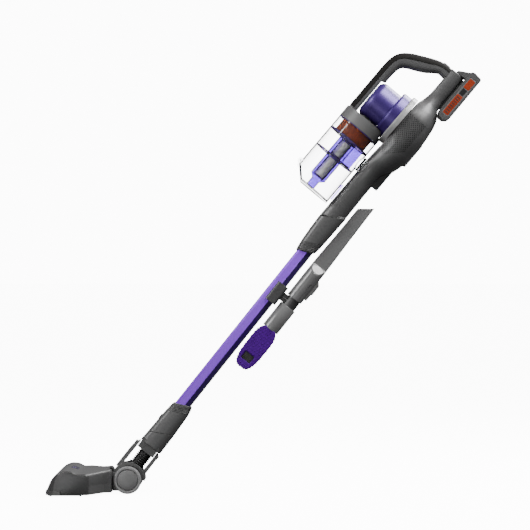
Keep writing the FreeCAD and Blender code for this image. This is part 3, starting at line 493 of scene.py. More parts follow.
surface("wheel_plastic", paint(0.18), 0.36, grain=0.2, wear=0.2)


# ---- carried-over nodes ----
# How far the sharp edges of these nodes are rounded. The rest only get their material.
EDGES = {
    "bin_collar": 1.2, "bin_door": 0.6, "bin_cup": 0.4, "door_latch": 0.5, "dock_block": 1.0,
    "battery_rail": 0.4, "wand_tube": 1.0, "wire_channel": 0.8, "accessory_clip": 0.8,
    "upper_button": 0.8, "lower_button": 0.8, "fork": 1.0, "head_base": 0.8, "swivel_drum": 0.8,
    "sole_plate": 0.6, "glide_strips": 0.5, "front_bumper": 0.9, "power_button": 0.7,
    "front_trim_ring": 0.5, "motor_cover_band": 0.5, "brush_motor": 0.6,
}
# The nodes whose material isn't their slot's own.
# The trim ring's light grey is painted light on its front.
LOOKS = {"front_trim_ring": "rim_painted_light_grey", "bin_collar": "collar_grey",
         "front_bumper": "charcoal_plastic", "accessory_clip": "end_grey"}
for part in frame["record"]["subparts"]:
    polish(part["node"], LOOKS.get(part["node"], part["material_slot"]), EDGES.get(part["node"], 0.0))


# ---- handheld unit ----
# Housing sections: height, front x, back x, half width at the side, half width of the front face.
HULL = [
    (640, -51, -4.8, 20.5, 12), (700, -51, -5.5, 21.5, 13), (770, -51, -7, 22.5, 15),
    (800, -51, -5, 28, 19), (832, -50, 8, 41, 26), (865, -48, 15.5, 49.5, 33),
    (905, -48, 17.2, 53, 48), (940, -48, 14, 50, 46), (965, -47, 8, 40, 32),
    (985, -42, -4.5, 25, 15), (1005, -39, -6, 19.5, 13), (1068, -38.5, -6, 19, 13),
]
FRONT_SHARE, BACK_POWER, FRONT_FILLET = 0.42, 2.35, 3.0
VENT_PITCH = 5.5
RELEASE_Z = 798


def side_y(x, z, grow=0.0):
    """Half width of the housing at a point of its side."""
    x0, x1, half, face = along(HULL, z)
    u = min(max((x - x0) / (x1 - x0), 0.0), 0.995)
    if u < FRONT_SHARE:
        y = face + (half - face) * math.sin(math.pi / 2 * u / FRONT_SHARE)
    else:
        y = half * (1 - ((u - FRONT_SHARE) / (1 - FRONT_SHARE)) ** BACK_POWER) ** (1 / BACK_POWER)
    return y + grow


def hull_ring(z, shrink=0.0):
    """A closed section of the housing."""
    x0, x1, half, face = along(HULL, z)
    near = [(x0, face * k) for k in (0.0, 0.3, 0.6)]
    fillet = min(FRONT_FILLET, face * 0.3)
    for degrees in (0, 30, 60, 90):
        turn = math.radians(degrees)
        near.append((x0 + fillet * (1 - math.cos(turn)), face - fillet + fillet * math.sin(turn)))
    for k in range(1, 8):
        u = 0.06 + (FRONT_SHARE - 0.06) * k / 8
        near.append((x0 + u * (x1 - x0), face + (half - face) * math.sin(math.pi / 2 * u / FRONT_SHARE)))
    middle = x0 + FRONT_SHARE * (x1 - x0)
    for k in range(14):
        turn = math.pi / 2 * k / 13
        near.append((middle + (x1 - middle) * math.sin(turn) ** (2 / BACK_POWER),
                     half * max(math.cos(turn), 0.0) ** (2 / BACK_POWER)))
    cx = (x0 + x1) / 2
    ring = near + [(x, -y) for x, y in reversed(near[1:-1])]
    return [(cx + (x - cx) * (1 - shrink), y * (1 - shrink), z) for x, y in ring]


def patch(outline, out, deep, hole=0.0):
    """A panel that follows the housing's side over a convex x-z outline, from out above the skin
    to deep below it; with a hole radius it is perforated in staggered rows."""
    bm = bmesh.new()
    half = VENT_PITCH / 2
    x_low, x_high = min(p[0] for p in outline), max(p[0] for p in outline)
    z_low, z_high = min(p[1] for p in outline), max(p[1] for p in outline)
    rows, columns = int((z_high - z_low) / half) + 2, int((x_high - x_low) / half) + 2
    middle_x = sum(p[0] for p in outline) / len(outline)
    middle_z = sum(p[1] for p in outline) / len(outline)

    def clear_of_edges(x, z, reach):
        for i, a in enumerate(outline):
            b = outline[(i + 1) % len(outline)]
            edge = Vector((b[0] - a[0], b[1] - a[1])).normalized()
            normal = Vector((-edge.y, edge.x))
            inward = 1 if normal.dot(Vector((middle_x - a[0], middle_z - a[1]))) > 0 else -1
            if inward * normal.dot(Vector((x - a[0], z - a[1]))) < reach:
                return False
        return True
    for i in range(-1, columns + 1):
        for k in range(-1, rows + 1):
            if (i + k) % 2:
                continue
            cx, cz = x_low + i * half, z_low + k * half
            corners = [(cx + half, cz), (cx, cz + half), (cx - half, cz), (cx, cz - half)]
            rim = []
            for c in range(4):
                a, b = corners[c], corners[(c + 1) % 4]
                rim += [a, ((a[0] + b[0]) / 2, (a[1] + b[1]) / 2)]
            outer = [bm.verts.new((x, 0, z)) for x, z in rim]
            if hole and clear_of_edges(cx, cz, hole + 1.2):
                inner = [bm.verts.new((cx + hole * math.cos(math.pi * s / 4), 0,
                                       cz + hole * math.sin(math.pi * s / 4))) for s in range(8)]
                for s in range(8):
                    bm.faces.new((outer[s], outer[(s + 1) % 8], inner[(s + 1) % 8], inner[s]))
            else:
                bm.faces.new(outer)
    bmesh.ops.remove_doubles(bm, verts=bm.verts, dist=0.01)
    for i, a in enumerate(outline):
        b = outline[(i + 1) % len(outline)]
        normal = Vector((b[1] - a[1], 0, a[0] - b[0])).normalized()
        if normal.dot(Vector((middle_x - a[0], 0, middle_z - a[1]))) > 0:
            normal = -normal
        bmesh.ops.bisect_plane(bm, geom=bm.verts[:] + bm.edges[:] + bm.faces[:], dist=0.001,
                               plane_co=(a[0], 0, a[1]), plane_no=normal, clear_outer=True)
    bmesh.ops.triangulate(bm, faces=[f for f in bm.faces if len(f.verts) > 4])
    made = bmesh.ops.extrude_face_region(bm, geom=bm.faces[:])
    sunk = {v for v in made["geom"] if isinstance(v, bmesh.types.BMVert)}
    for v in bm.verts:
        v.co.y = -side_y(v.co.x, v.co.z, -deep if v in sunk else out)
    bmesh.ops.recalc_face_normals(bm, faces=bm.faces)
    return bm


# Outlines on the housing's side: the vent and the D-shaped bin release.
VENT = [(-45.5, 845), (-45.5, 942), (-43, 945), (-2, 944), (0.5, 941), (0.5, 873), (-32, 838), (-36, 838)]
RELEASE = [(-49.4 + 8.6 * math.sin(math.pi * k / 12), RELEASE_Z - 17 * math.cos(math.pi * k / 12))
           for k in range(13)]


def to_hand(x, z):
    """A wand-frame point in the handheld frame."""
    turn = math.radians(WAND_LEAN - HAND_LEAN)
    return (x * math.cos(turn) + z * math.sin(turn), -x * math.sin(turn) + z * math.cos(turn))


def housing():
    """Both halves of the housing, with the vents and the bin release let into the sides."""
    heights = [640 + 3 * k for k in range(142)] + [1066.0]
    rings = [hull_ring(z) for z in heights]
    rings += [[(x, y, 1066.0 + drop) for x, y, _ in hull_ring(1066.0, shrink)]
              for drop, shrink in ((1.1, 0.02), (1.8, 0.06), (2.0, 0.12))]
    body = skin(rings)
    a, b = to_hand(-31.0, 667.0), to_hand(14.0, 694.0)
    body = halved(body, (a[0], 0, a[1]), (b[1] - a[1], 0, a[0] - b[0]))
    pocket = patch(VENT, 4.0, 2.6)
    key_room = [(-45.5 + (x + 45.5) * 1.12, RELEASE_Z + (z - RELEASE_Z) * 1.03) for x, z in RELEASE]
    key_room = patch(key_room, 4.0, 4.4)
    body = cut(body, mirrored(pocket), pocket, key_room)
    near = halved(body.copy(), (0, -0.12, 0), (0, 1, 0))
    far = halved(body, (0, 0.12, 0), (0, -1, 0))
    piece("housing_left", near, HAND, "handheld", "charcoal_plastic", ["main_housing_left"], weighted=False)
    piece("housing_right", far, HAND, "handheld", "charcoal_plastic", ["main_housing_right"], weighted=False)
    grille = patch(VENT, -0.1, 1.5, hole=1.35)
    piece("vent_right", mirrored(grille), HAND, "handheld", "charcoal_plastic", ["right_vent_grille"],
          weighted=False)
    piece("vent_left", grille, HAND, "handheld", "charcoal_plastic", ["left_vent_grille"], weighted=False)
    # A black sheet behind the vent holes: the dark filter mesh seen through them, and painted shade inside
    # the vent.
    backing = patch(VENT, -2.2, 2.5)
    piece("vent_mesh_and_shade", joined(mirrored(backing), backing), HAND, "handheld", "black_plastic",
          weighted=False)
    key = patch(RELEASE, 0.7, 2.0)
    piece("release_key", key, HAND, "bin_release", "black_plastic", ["bin_latch"], bevel=0.5,
          weighted=False)


# Handle stations: a point of the outer edge and the point of the inner edge across from it.
GRIP_LINE = [
    (-150, 874.5, -122, 874.5), (-150, 905, -122, 905), (-150, 945, -122, 943), (-150, 974, -122, 970),
    (-149.2, 996, -121.2, 986), (-145.5, 1013.5, -118.6, 999), (-137, 1027, -113, 1005.5),
    (-122, 1039, -104, 1010.5), (-102, 1049.5, -91, 1016.5), (-81, 1059.5, -73, 1026.5),
    (-65, 1065.5, -61, 1036), (-50, 1068, -50.5, 1041.6), (-38, 1067.6, -40, 1041),
    (-24, 1066.5, -26, 1041),
]
GRIP_HALF, GRIP_POWER, GRIP_STATIONS = 15.0, 2.5, 90


def grip_stations():
    """The handle's stations, eased smoothly between those of GRIP_LINE."""
    table = [(float(k),) + row for k, row in enumerate(GRIP_LINE)]
    return [along(table, (len(GRIP_LINE) - 1) * k / (GRIP_STATIONS - 1)) for k in range(GRIP_STATIONS)]


def grip_ring(station, angles, grow=0.0):
    """Points round a handle section; angle 0 faces out of the handle."""
    ox, oz, ix, iz = station
    out = Vector((ox - ix, oz - iz))
    half = out.length / 2 + grow
    out.normalize()
    ring = []
    for angle in angles:
        c, s = math.cos(angle), math.sin(angle)
        u = half * signed_power(c, 2 / GRIP_POWER)
        y = (GRIP_HALF + grow) * signed_power(s, 2 / GRIP_POWER)
        ring.append(((ox + ix) / 2 + out.x * u, y, (oz + iz) / 2 + out.y * u))
    return ring


def dome_room():
    """The space that the motor's dome takes out of the handle."""
    return turned(rect(0.0, 42.3, -131, -79), "x", MOTOR)


def handle():
    """The handle's frame, and the soft grip round its outer side."""
    stations = grip_stations()
    round_all = [2 * math.pi * (k + 0.5) / 48 for k in range(48)]
    core = skin([grip_ring(s, round_all, -0.8) for s in stations])
    piece("handle_frame", cut(core, dome_room()), HAND, "handheld", "charcoal_plastic", ["handle_core"],
          weighted=False)
    reach, rings = 1.42, []
    for station in stations[1:-6]:
        outer = grip_ring(station, [reach * (2 * j / 22 - 1) for j in range(23)])
        inner = grip_ring(station, [reach * (1 - 2 * j / 10) for j in range(11)], -3.0)
        rings.append(outer + inner)
    rubber = cut(skin(rings), dome_room())
    piece("handle_grip", rubber, HAND, "handheld", "soft_grip", ["grip_overmold"], bevel=0.7, segments=3,
          angle=50)


def dock():
    """The docking block and the metal collar of its charging jack."""
    block = slab(rounded([(-18, 779, 1), (6, 779, 2.5), (6, 828, 2.5), (-1, 828, 2), (-18, 806, 8)]),
                 -14, 14)
    hole = turned([(0.0, -4), (2.9, -4), (2.9, 3.6), (5.0, 6.2), (5.0, 8), (0.0, 8)], "x", JACK, 48)
    piece("dock_socket", cut(block, hole), HAND, "handheld", "black_plastic", ["dock_block"], bevel=0.8)
    collar = turned([(2.95, 0.0), (4.6, 0.0), (4.6, 6.1, 0.4), (3.6, 6.1, 0.3), (2.95, 5.2)], "x", JACK, 48)
    piece("jack_collar", collar, HAND, "handheld", "silver_mesh", weighted=False)


def pack_case():
    """The slide pack, with a well in each side for its label and one on top for its key."""
    side = rounded([(-3.6, 989, 1), (0, 980, 3), (4, 975.2, 5), (15, 975.2, 5), (23.6, 982, 7),
                    (22.6, 1087, 5), (2, 1089, 6), (-25.5, 1073.2, 2), (-27, 1068.9, 0.8),
                    (-3.6, 1068.9, 0.5)], 6)
    body = slab(side, -37, 37)
    wings = [slab(rect(-40, -3.2, 960, 1100), y0, y1) for y0, y1 in ((-50, -17.5), (17.5, 50))]
    wells = [slab(rect(0.9, 18.4, 984, 1077, 3), y0, y1) for y0, y1 in ((-40, -36.2), (36.2, 40))]
    top = prism(rect(1.2, 19.6, -13, 13, 3), 1084.5, 1100)
    key_room = prism(rect(1.6, 19.2, -12.6, 12.6, 2.5), 1082.0, 1095.0)
    body = cut(cut(body, *wings, *wells, top), key_room)
    piece("pack_case", body, HAND, "battery", "charcoal_plastic", ["battery_case"], bevel=2.0, segments=4)


def pack_label(side, sign):
    """A label in its rim: two orange fields with a dark gap, and bars where words would be."""
    def layer(outline, low, high):
        return slab(outline, *sorted((low * sign, high * sign)))
    piece("label_rim_" + side, layer(rect(1.3, 18.0, 984.4, 1076.6, 3), 36.0, 36.75), HAND, "battery",
          "tool_grey", bevel=0.3)
    piece("label_top_" + side, layer(rect(3.0, 16.2, 1052, 1074.6, 1, 2), 36.4, 36.95), HAND, "battery",
          "label_orange", ["battery_labels"], bevel=0.2)
    piece("label_gap_" + side, layer(rect(4.2, 15.0, 1036, 1050.6, 1), 36.4, 36.95), HAND, "battery",
          "black_plastic", bevel=0.2)
    low = layer(rect(3.0, 16.2, 986.6, 1034.6, 2, 1), 36.4, 36.95)
    bars = [layer(rect(5.6, 13.6, 990 + k * 5.4, 990 + k * 5.4 + 3, 0.6), 36.9, 37.1) for k in range(8)]
    piece("label_low_" + side, low, HAND, "battery", "label_orange", bevel=0.2)
    piece("label_bars_" + side, joined(*bars), HAND, "battery", "label_orange", bevel=0.1,
          look="label_brown")


def pack_key():
    """The ribbed release key on top of the pack."""
    key = [prism(rect(2.0, 18.8, -12.2, 12.2, 2.5), 1084.6, 1088.0)]
    for number in range(6):
        x = 4.2 + number * 2.4
        key.append(prism(rect(x, x + 1.3, -10, 10, 0.5), 1087.5, 1089.2))
    piece("pack_key", joined(*key), HAND, "battery_key", "tool_grey", ["battery_button"], bevel=0.35)


housing()
handle()
dock()
pack_case()
pack_label("near", -1)
pack_label("far", 1)
pack_key()


# ---- dust bin ----
def cup_shade_rings():
    """Two dark rings on the cup's rim and collar: painted shade for the dark edge lines of the clear cup."""
    rings = [turned([(45.0, z, 0.2), (47.75, z, 0.4), (47.75, z + 1.6, 0.4), (45.0, z + 1.6, 0.2)], "z",
                    BIN, 120, 3) for z in (818.5, 848.2)]
    piece("cup_shade_rings", joined(*rings), HAND, "dust_bin", "purple_tint", weighted=False, look="purple_painted_shade")


def cyclone():
    """The tinted cage over the mesh cone, with its plate, tray and inlet scoop."""
    cage = turned([(17.2, 816), (19, 816), (19, 778), (18, 774), (18, 724), (9.5, 716), (9.5, 699),
                   (7.7, 699), (7.7, 715), (16.2, 723), (16.2, 774), (17.2, 779)], "z", BIN)
    openings = [slab(rect(BIN_X - 10.4, BIN_X + 10.4, low, high, 2), -30, 30)
                for low, high in ((780, 813), (726.5, 771))]
    piece("cyclone_cage", cut(cage, *openings), HAND, "dust_bin", "purple_tint", ["cyclone_shroud"],
          weighted=False)
    disc = turned(rect(17.6, 45.0, 774, 776), "z", BIN)
    rim = turned(rect(44.2, 45.1, 773.4, 776.6), "z", BIN)
    tray = turned(rect(12, 45.1, 820, 822.5), "z", BIN)
    neck = turned(rect(12, 19, 815.9, 820.1), "z", BIN)
    piece("cyclone_disc", disc, HAND, "dust_bin", "purple_tint", weighted=False)
    # The plate's rim, the tray and its neck take the darker purple: painted shade for the dark lines in the
    # clear bin.
    piece("cyclone_tray", joined(rim, tray, neck), HAND, "dust_bin", "purple_tint", weighted=False,
          look="purple_painted_shade")
    scoop = slab(rect(-86, -66, 776.2, 819.8, 1), -15, 15)
    scoop = cut(scoop, slab(rect(-90, -60, 778.4, 817.6), -12.6, 12.6))
    piece("cyclone_scoop", scoop, HAND, "dust_bin", "purple_tint", bevel=0.4)


def pleated_filter():
    """The orange band round the filter and the folded paper inside it."""
    band = turned([(30.0, 823), (37.0, 823, 0.5), (37.0, 849.6, 0.5), (30.0, 849.6)], "z", BIN, 96, 3)
    piece("filter_band", band, HAND, "dust_bin", "filter_orange", ["filter_cartridge"], weighted=False)
    folds = [polar(29.4 if k % 2 else 25.0, 2 * math.pi * k / 120, BIN_X) for k in range(120)]
    piece("filter_pleats", prism(folds, 823.2, 849.0), HAND, "dust_bin", "filter_foam")


def power_key():
    """The pill-shaped key in the handle's top."""
    pill = rect(-58, -42.4, -4.8, 4.8, 4.5, steps=6)
    piece("power_key_cap", prism(pill, 1062.0, 1069.0), HAND, "power_key", "black_plastic",
          ["power_button"], bevel=0.9)


def rear_pad():
    """The shallow cover on the back of the motor housing."""
    cover = plate(rect(-16, 16, 853, 909, 7), 8.0, 18.2)
    piece("rear_cover", cover, HAND, "handheld", "charcoal_plastic", bevel=1.2)
    slots = [plate(rect(-11, 11, z, z + 2.2, 0.7, steps=3), 17.6, 18.32) for z in range(862, 902, 6)]
    piece("rear_cover_slots", joined(*slots), HAND, "handheld", "black_plastic", bevel=0.15)


cup_shade_rings()
cyclone()
pleated_filter()
power_key()
rear_pad()


# ---- wand ----
# Cuff sections: height at the middle, front x, back x, half width, slope of the section.
CUFF_TOP = [(590.3, -24.2, 8.8, 16.8, 0.47), (593.0, -25.8, 10.6, 17.6, 0.475),
            (600.0, -27.2, 12.2, 18.3, 0.48), (615.0, -28.6, 13.2, 19.2, 0.5),
            (640.0, -30.0, 14.3, 20.2, 0.54), (680.2, -31.6, 16.3, 21.3, 0.6)]
CUFF_FOOT = [(119.9, -30.3, 17.8, 19.9, 0.567), (140.0, -29.6, 16.7, 19.3, 0.53),
             (165.0, -28.7, 15.3, 18.6, 0.48), (180.0, -27.8, 13.6, 18.0, 0.45),
             (188.0, -26.8, 11.6, 17.4, 0.43), (192.6, -25.0, 9.2, 16.5, 0.43)]
NECK = [(84.0, -31.4, 18.6, 20.3, 0.0), (88.0, -31.4, 18.6, 20.3, 0.05), (100.0, -30.9, 18.3, 20.1, 0.3),
        (119.3, -30.3, 17.8, 19.9, 0.567)]
CUFF_POWER = 3.1


def sleeve(table, step, ribs=None, fillets=(0.0, 0.0)):
    """A soft-cornered sleeve through a table; ribs is (low, high, pitch, depth) of a grooved zone
    and fillets round its foot and top."""
    low, high = table[0][0], table[-1][0]
    foot, top = fillets
    count = round((high - low) / step)
    heights = [low + (high - low) * k / count for k in range(count + 1)]
    rings = []
    for z in heights:
        x0, x1, half, slope = along(table, z)
        grow = 0.0
        if ribs and ribs[0] < z < ribs[1]:
            phase = ((z - ribs[0]) / ribs[2]) % 1.0
            grow = -ribs[3] * min(1.0, max(0.0, 3 * (abs(phase - 0.5) * 2 - 0.45)))
        for radius, gap in ((foot, z - low), (top, high - z)):
            if gap < radius:
                grow -= radius - math.sqrt(radius**2 - (radius - gap)**2)
        rings.append(oval(x0, x1, half, CUFF_POWER, z, slope, grow))
    return skin(rings)


def cuffs():
    """The sleeves at the tube's ends, and the neck that rocks between the fork's arms."""
    piece("cuff_upper", sleeve(CUFF_TOP, 0.55, (592.5, 613.0, 3.4, 0.8), fillets=(1.4, 0.5)), WAND, "wand",
          "charcoal_plastic", ["upper_cuff"], weighted=False)
    piece("cuff_lower", sleeve(CUFF_FOOT, 0.55, (173.0, 190.5, 3.2, 0.8), fillets=(0.5, 1.4)), WAND, "wand",
          "charcoal_plastic", ["lower_cuff"], weighted=False)
    neck = sleeve(NECK, 0.8, fillets=(2.0, 0.5))
    foot_outline = [(19 * math.sin(math.radians(a)), 80 - 19 * math.cos(math.radians(a)))
                    for a in range(-57, 58, 6)] + [(18.9, 92), (-18.9, 92)]
    foot = plate([(y, max(z, 69.6)) for y, z in foot_outline], -28.4, 11.4)
    reliefs = [turned(rect(0.0, 12.8, x0, x1), "x", STEER, 48) for x0, x1 in ((-45, -28.5), (11.5, 30))]
    body = cut(combined(neck, "UNION", foot), *reliefs)
    piece("neck_body", body, WAND, "neck", "charcoal_plastic", ["neck_duct"], bevel=0.4, segments=2,
          angle=40)
    caps = [turned([(0.0, x0, 0.0), (4.6, x0, e0), (4.6, x1, e1), (0.0, x1, 0.0)], "x", STEER, 40)
            for x0, x1, e0, e1 in ((-37.6, -34.0, 0.8, 0.1), (17.5, 20.9, 0.1, 0.8))]
    piece("steer_pins", joined(*caps), WAND, "neck", "black_plastic", weighted=False)


def tube():
    """The painted tube: flat sides and front, and the chamfers of its narrow back in a darker copy of the
    purple paint, which is painted shade.
    """
    front = rounded([(-23, -8.5, 2.5), (-19.5, -15, 2.5), (-4, -15, 0.8), (-4, 15, 0.8), (-19.5, 15, 2.5),
                     (-23, 8.5, 2.5)], 4)
    back = rounded([(-5, -14.6), (-3.6, -14.6, 0.6), (4.4, -7.5, 0.8), (4.4, 7.5, 0.8), (-3.6, 14.6, 0.6),
                    (-5, 14.6)], 4)
    foot, top = 150, 656
    piece("tube_front", prism(front, foot, top), WAND, "wand", "purple_paint", ["wand_tube"])
    # The back chamfers take the darker copy of the purple paint: painted shade.
    piece("tube_back", prism(back, foot, top), WAND, "wand", "purple_paint", look="purple_painted_shade")


def joint_cores():
    """Dark sealing sleeves seen in the narrow gaps where the units plug together."""
    seals = []
    for row, heights in ((CUFF_TOP[-1], (676.0, 684.0)), (CUFF_FOOT[0], (116.0, 123.0))):
        x0, x1, half, slope = row[1:]
        seals.append(skin([oval(x0, x1, half, CUFF_POWER, z, slope, -1.0) for z in heights]))
    piece("joint_seals", joined(*seals), WAND, "wand", "black_plastic")


# The fork's front and back arms from the side.
FORK_FRONT = [(-38, 2), (-38.2, 40), (-38.2, 62), (-36.6, 72), (-33.6, 79.5), (-31, 82.6),
              (-29.2, 82.9), (-29.0, 2)]
FORK_BACK = [(12.2, 2), (12.2, 83), (14.8, 82.4), (18.3, 79), (19.9, 71), (20.4, 50), (20.8, 2)]


def fork_frame():
    """Two waisted arms rising from the hood over the swivel drum."""
    def sector(r_out, r_in, low, high, y0, y1):
        arc = [math.radians(low + (high - low) * k / 40) for k in range(41)]
        points = [polar(r_out, a, PITCH_X, PITCH_Z) for a in arc]
        points += [polar(r_in, a, PITCH_X, PITCH_Z) for a in reversed(arc)]
        return slab(points, y0, y1)
    arch = [polar(12.2, math.radians(a), 0.0, 71.5) for a in range(0, 181, 12)]
    profile = plate(arch + [(-13.5, 40), (-16, 12), (16, 12), (13.5, 40)], -45, 30)
    drum = turned(rect(0.0, 27.4, -30, 30), "y", PITCH)
    eyes = turned(rect(0.0, 3.05, -45, 30), "x", STEER, 32)
    arms = joined(slab(rounded([p + (1.5,) for p in FORK_FRONT], 3), -16.5, 16.5),
                  slab(rounded([p + (1.5,) for p in FORK_BACK], 3), -16.5, 16.5))
    arms = cut(combined(profile, "INTERSECT", arms), drum, eyes)
    piece("fork_arms", arms, WAND, "steering_fork", "charcoal_plastic", ["fork"], bevel=1.0, segments=3)
    hood = sector(33.2, 26.8, 35, 186, -22.2, 22.2)
    piece("fork_hood", hood, WAND, "steering_fork", "charcoal_plastic", bevel=0.8)
    lips = [sector(34.6, 26.8, 33, 188, *sorted((22.2 * sign, 24.9 * sign))) for sign in (-1, 1)]
    piece("fork_lips", joined(*lips), WAND, "steering_fork", "charcoal_plastic", bevel=0.8)
    # Black discs between the drum and the wheels: painted shade for the dark gap between the head and its
    # wheels.
    discs = [turned([(6.1, y0), (25.6, y0), (25.6, y1, 0.6), (6.1, y1)], "y", PITCH, 80)
             for y0, y1 in ((-22.4, -24.6), (22.4, 24.6))]
    piece("fork_cheeks_painted_shade", joined(*discs), WAND, "steering_fork", "black_plastic", weighted=False)
    collar = turned([(12.4, 32.2), (16.6, 32.2), (16.6, 38.4, 1.2), (12.4, 38.4, 0.4)], "z", HOSE, 72)
    piece("hose_collar", collar, WAND, "steering_fork", "black_plastic", weighted=False)


def hose():
    """The corrugated hose between the fork and the neck."""
    foot, top, pitch, ribs = 33.0, 71.0, 4.5, []
    steps = 100
    for k in range(steps + 1):
        z = foot + (top - foot) * k / steps
        wave = math.cos(2 * math.pi * (z - foot) / pitch)
        ribs.append((14.0 + 1.25 * signed_power(wave, 0.6), z))
    outline = ribs + [(10.6, top), (10.6, foot)]
    body = turned(outline, "z", HOSE, 72)
    obj = piece("hose_bellows", body, WAND, None, "black_plastic", ["flexible_hose"], weighted=False)
    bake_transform(obj)


def clipped(z, radius, thick):
    """A section of the crevice tool: a circle cut flat at a half thickness."""
    count = 64
    ring = []
    for k in range(count):
        angle = 2 * math.pi * (k + 0.5) / count
        y = radius * math.sin(angle)
        ring.append((TOOL_X + radius * math.cos(angle), min(max(y, -thick), thick), z))
    return ring


def crevice():
    """Round socket with a latch, running through a flat facet into a thin blade."""
    # Blade sections: height, radius, half thickness.
    table = [(585.0, 17.0, 6.6), (600.0, 16.7, 6.6), (620.0, 16.1, 6.5), (655.0, 15.0, 6.4),
             (690.0, 14.3, 6.2), (765.0, 12.9, 5.8)]

    def sections(shell):
        rings = [clipped(z, 17.2 - shell, 30.0) for z in (501.8 - shell * 4, 503.0, 530.0, 566.5)]
        for k in range(10):
            t = k / 9.0
            rings.append(clipped(566.5 + 18.5 * t, 17.2 - shell - 0.2 * t, 17.2 - shell - 10.6 * t))
        for k in range(1, 30):
            z = 585.0 + 180.0 * k / 29
            radius, thick = along(table, z)
            rings.append(clipped(z, radius - shell, thick - shell))
        return skin(rings)
    body = sections(0.0)
    mouth_a, mouth_b = (22.0, 727.0), (48.0, 747.6)
    body = halved(body, (mouth_a[0], 0, mouth_a[1]), (mouth_a[1] - mouth_b[1], 0, mouth_b[0] - mouth_a[0]))
    groove = slab([(42.3, 498), (44.0, 498), (44.0, 543.5), (47.6, 543.5), (47.6, 545.3), (42.3, 545.3)],
                  -25, -13.2)
    body = cut(body, sections(2.3), groove)
    piece("crevice_body", body, WAND, "crevice", "tool_grey", ["crevice_tool"], bevel=0.5, segments=2,
          angle=28)
    # A light grey oval on the near facet: a painted highlight where the facet catches the light.
    highlight_oval = prism([(12.0 * math.cos(math.pi * k / 24), 8.6 * math.sin(math.pi * k / 24)) for k in range(48)],
                 -1.0, 0.3)
    facet = Matrix.Rotation(math.radians(60.2), 3, "X")
    bmesh.ops.rotate(highlight_oval, cent=(0, 0, 0), matrix=facet, verts=highlight_oval.verts)
    bmesh.ops.translate(highlight_oval, vec=(TOOL_X, -10.9, 577.5), verts=highlight_oval.verts)
    piece("crevice_painted_highlight", highlight_oval, WAND, "crevice", "tool_grey", bevel=0.4, look="painted_highlight_grey")
    lever = slab(rounded([(46, 513, 1), (56.6, 513.4, 1.2), (57.2, 529, 0.8), (59.4, 531, 1.2),
                          (59.0, 553, 2), (52.0, 561.5, 1.5), (46, 561.5, 1)]), -5, 5)
    piece("crevice_latch", lever, WAND, "crevice", "tool_grey", bevel=0.7)


def nub(x, y, z, radius, stretch):
    """One soft knob of the dusting brush."""
    bm = bmesh.new()
    bmesh.ops.create_icosphere(bm, subdivisions=2, radius=radius)
    bmesh.ops.scale(bm, vec=stretch, verts=bm.verts)
    bmesh.ops.translate(bm, vec=(x, y, z), verts=bm.verts)
    return bm


PAD_X, PAD_Z = 35.2, 375.5


def pad_outline(grow=0.0):
    """The rounded, tapering face of the dusting brush."""
    points = []
    for k in range(60):
        angle = 2 * math.pi * (k + 0.5) / 60
        c, s = math.cos(angle), math.sin(angle)
        half = 22.6 + 1.6 * s + grow
        x = PAD_X + half * signed_power(c, 2 / 3.4)
        z = PAD_Z + (50.0 + grow) * signed_power(s, 2 / 2.9)
        points.append((x, z))
    return points


def dusting_brush():
    """Socket, back and rubber face of the brush, with its comb and its knobs."""
    socket = turned([(14.4, 481.6), (17.2, 481.6, 0.8), (18.0, 480.5), (18.0, 423), (11, 422), (11, 404),
                     (9, 404), (9, 440), (14.4, 441)], "z", TOOL, 72)
    piece("brush_socket", socket, WAND, "dusting_brush", "tool_grey", ["brush_tool"], weighted=False)
    back = slab(pad_outline(-2.4), -9, 13.5)
    piece("brush_back", back, WAND, "dusting_brush", "tool_grey", bevel=4.0, segments=5)
    face = slab(pad_outline(), -16.6, -2.0)
    well = slab(rect(23.6, 46, 341.8, 358.4, 2), -20, -11.5)
    piece("brush_face", cut(face, well), WAND, "dusting_brush", "brush_purple", ["brush_pad"], bevel=3.2,
          segments=5, angle=50)
    teeth = [slab(rect(25, 44.6, 344 + 3.3 * k, 345.7 + 3.3 * k, 0.6), -15.8, -11) for k in range(4)]
    floor = slab(rect(23.8, 45.8, 342, 358.2), -12.4, -11.2)
    piece("brush_comb", joined(floor, *teeth), WAND, "dusting_brush", "bristle", bevel=0.3)
    nubs = []
    for row in range(13):
        z = 333.5 + row * 7.0
        for column in range(-3, 4):
            x = PAD_X + column * 5.8 + (row % 2) * 2.9
            reach = 18.4 - 3.4 * max(0.0, (abs(z - PAD_Z) - 34) / 12)
            in_well = 21.5 < x < 48 and 339.5 < z < 361
            if abs(x - PAD_X) < reach and not in_well:
                nubs.append(nub(x, -16.4, z, 1.25, (1, 1.15, 1)))
    for index, (x, z) in enumerate(pad_outline(-0.2)):
        if index % 2 == 0 and not (z > 412 and abs(x - TOOL_X) < 19):
            nubs.append(nub(x, -10.5, z, 1.5, (1, 1.7, 1)))
            nubs.append(nub(x, -5.2, z, 1.4, (1, 1.4, 1)))
    piece("brush_nubs", joined(*nubs), WAND, "dusting_brush", "brush_purple", weighted=False)


def clip_seam():
    """The raised seam of the tool clip."""
    line = slab(rect(8.5, 25, 490.2, 491.8, 0.3), -9.6, 9.6)
    piece("clip_seam", line, WAND, "wand", "tool_grey", bevel=0.2)


tube()
cuffs()
joint_cores()
fork_frame()
hose()
crevice()
dusting_brush()
clip_seam()


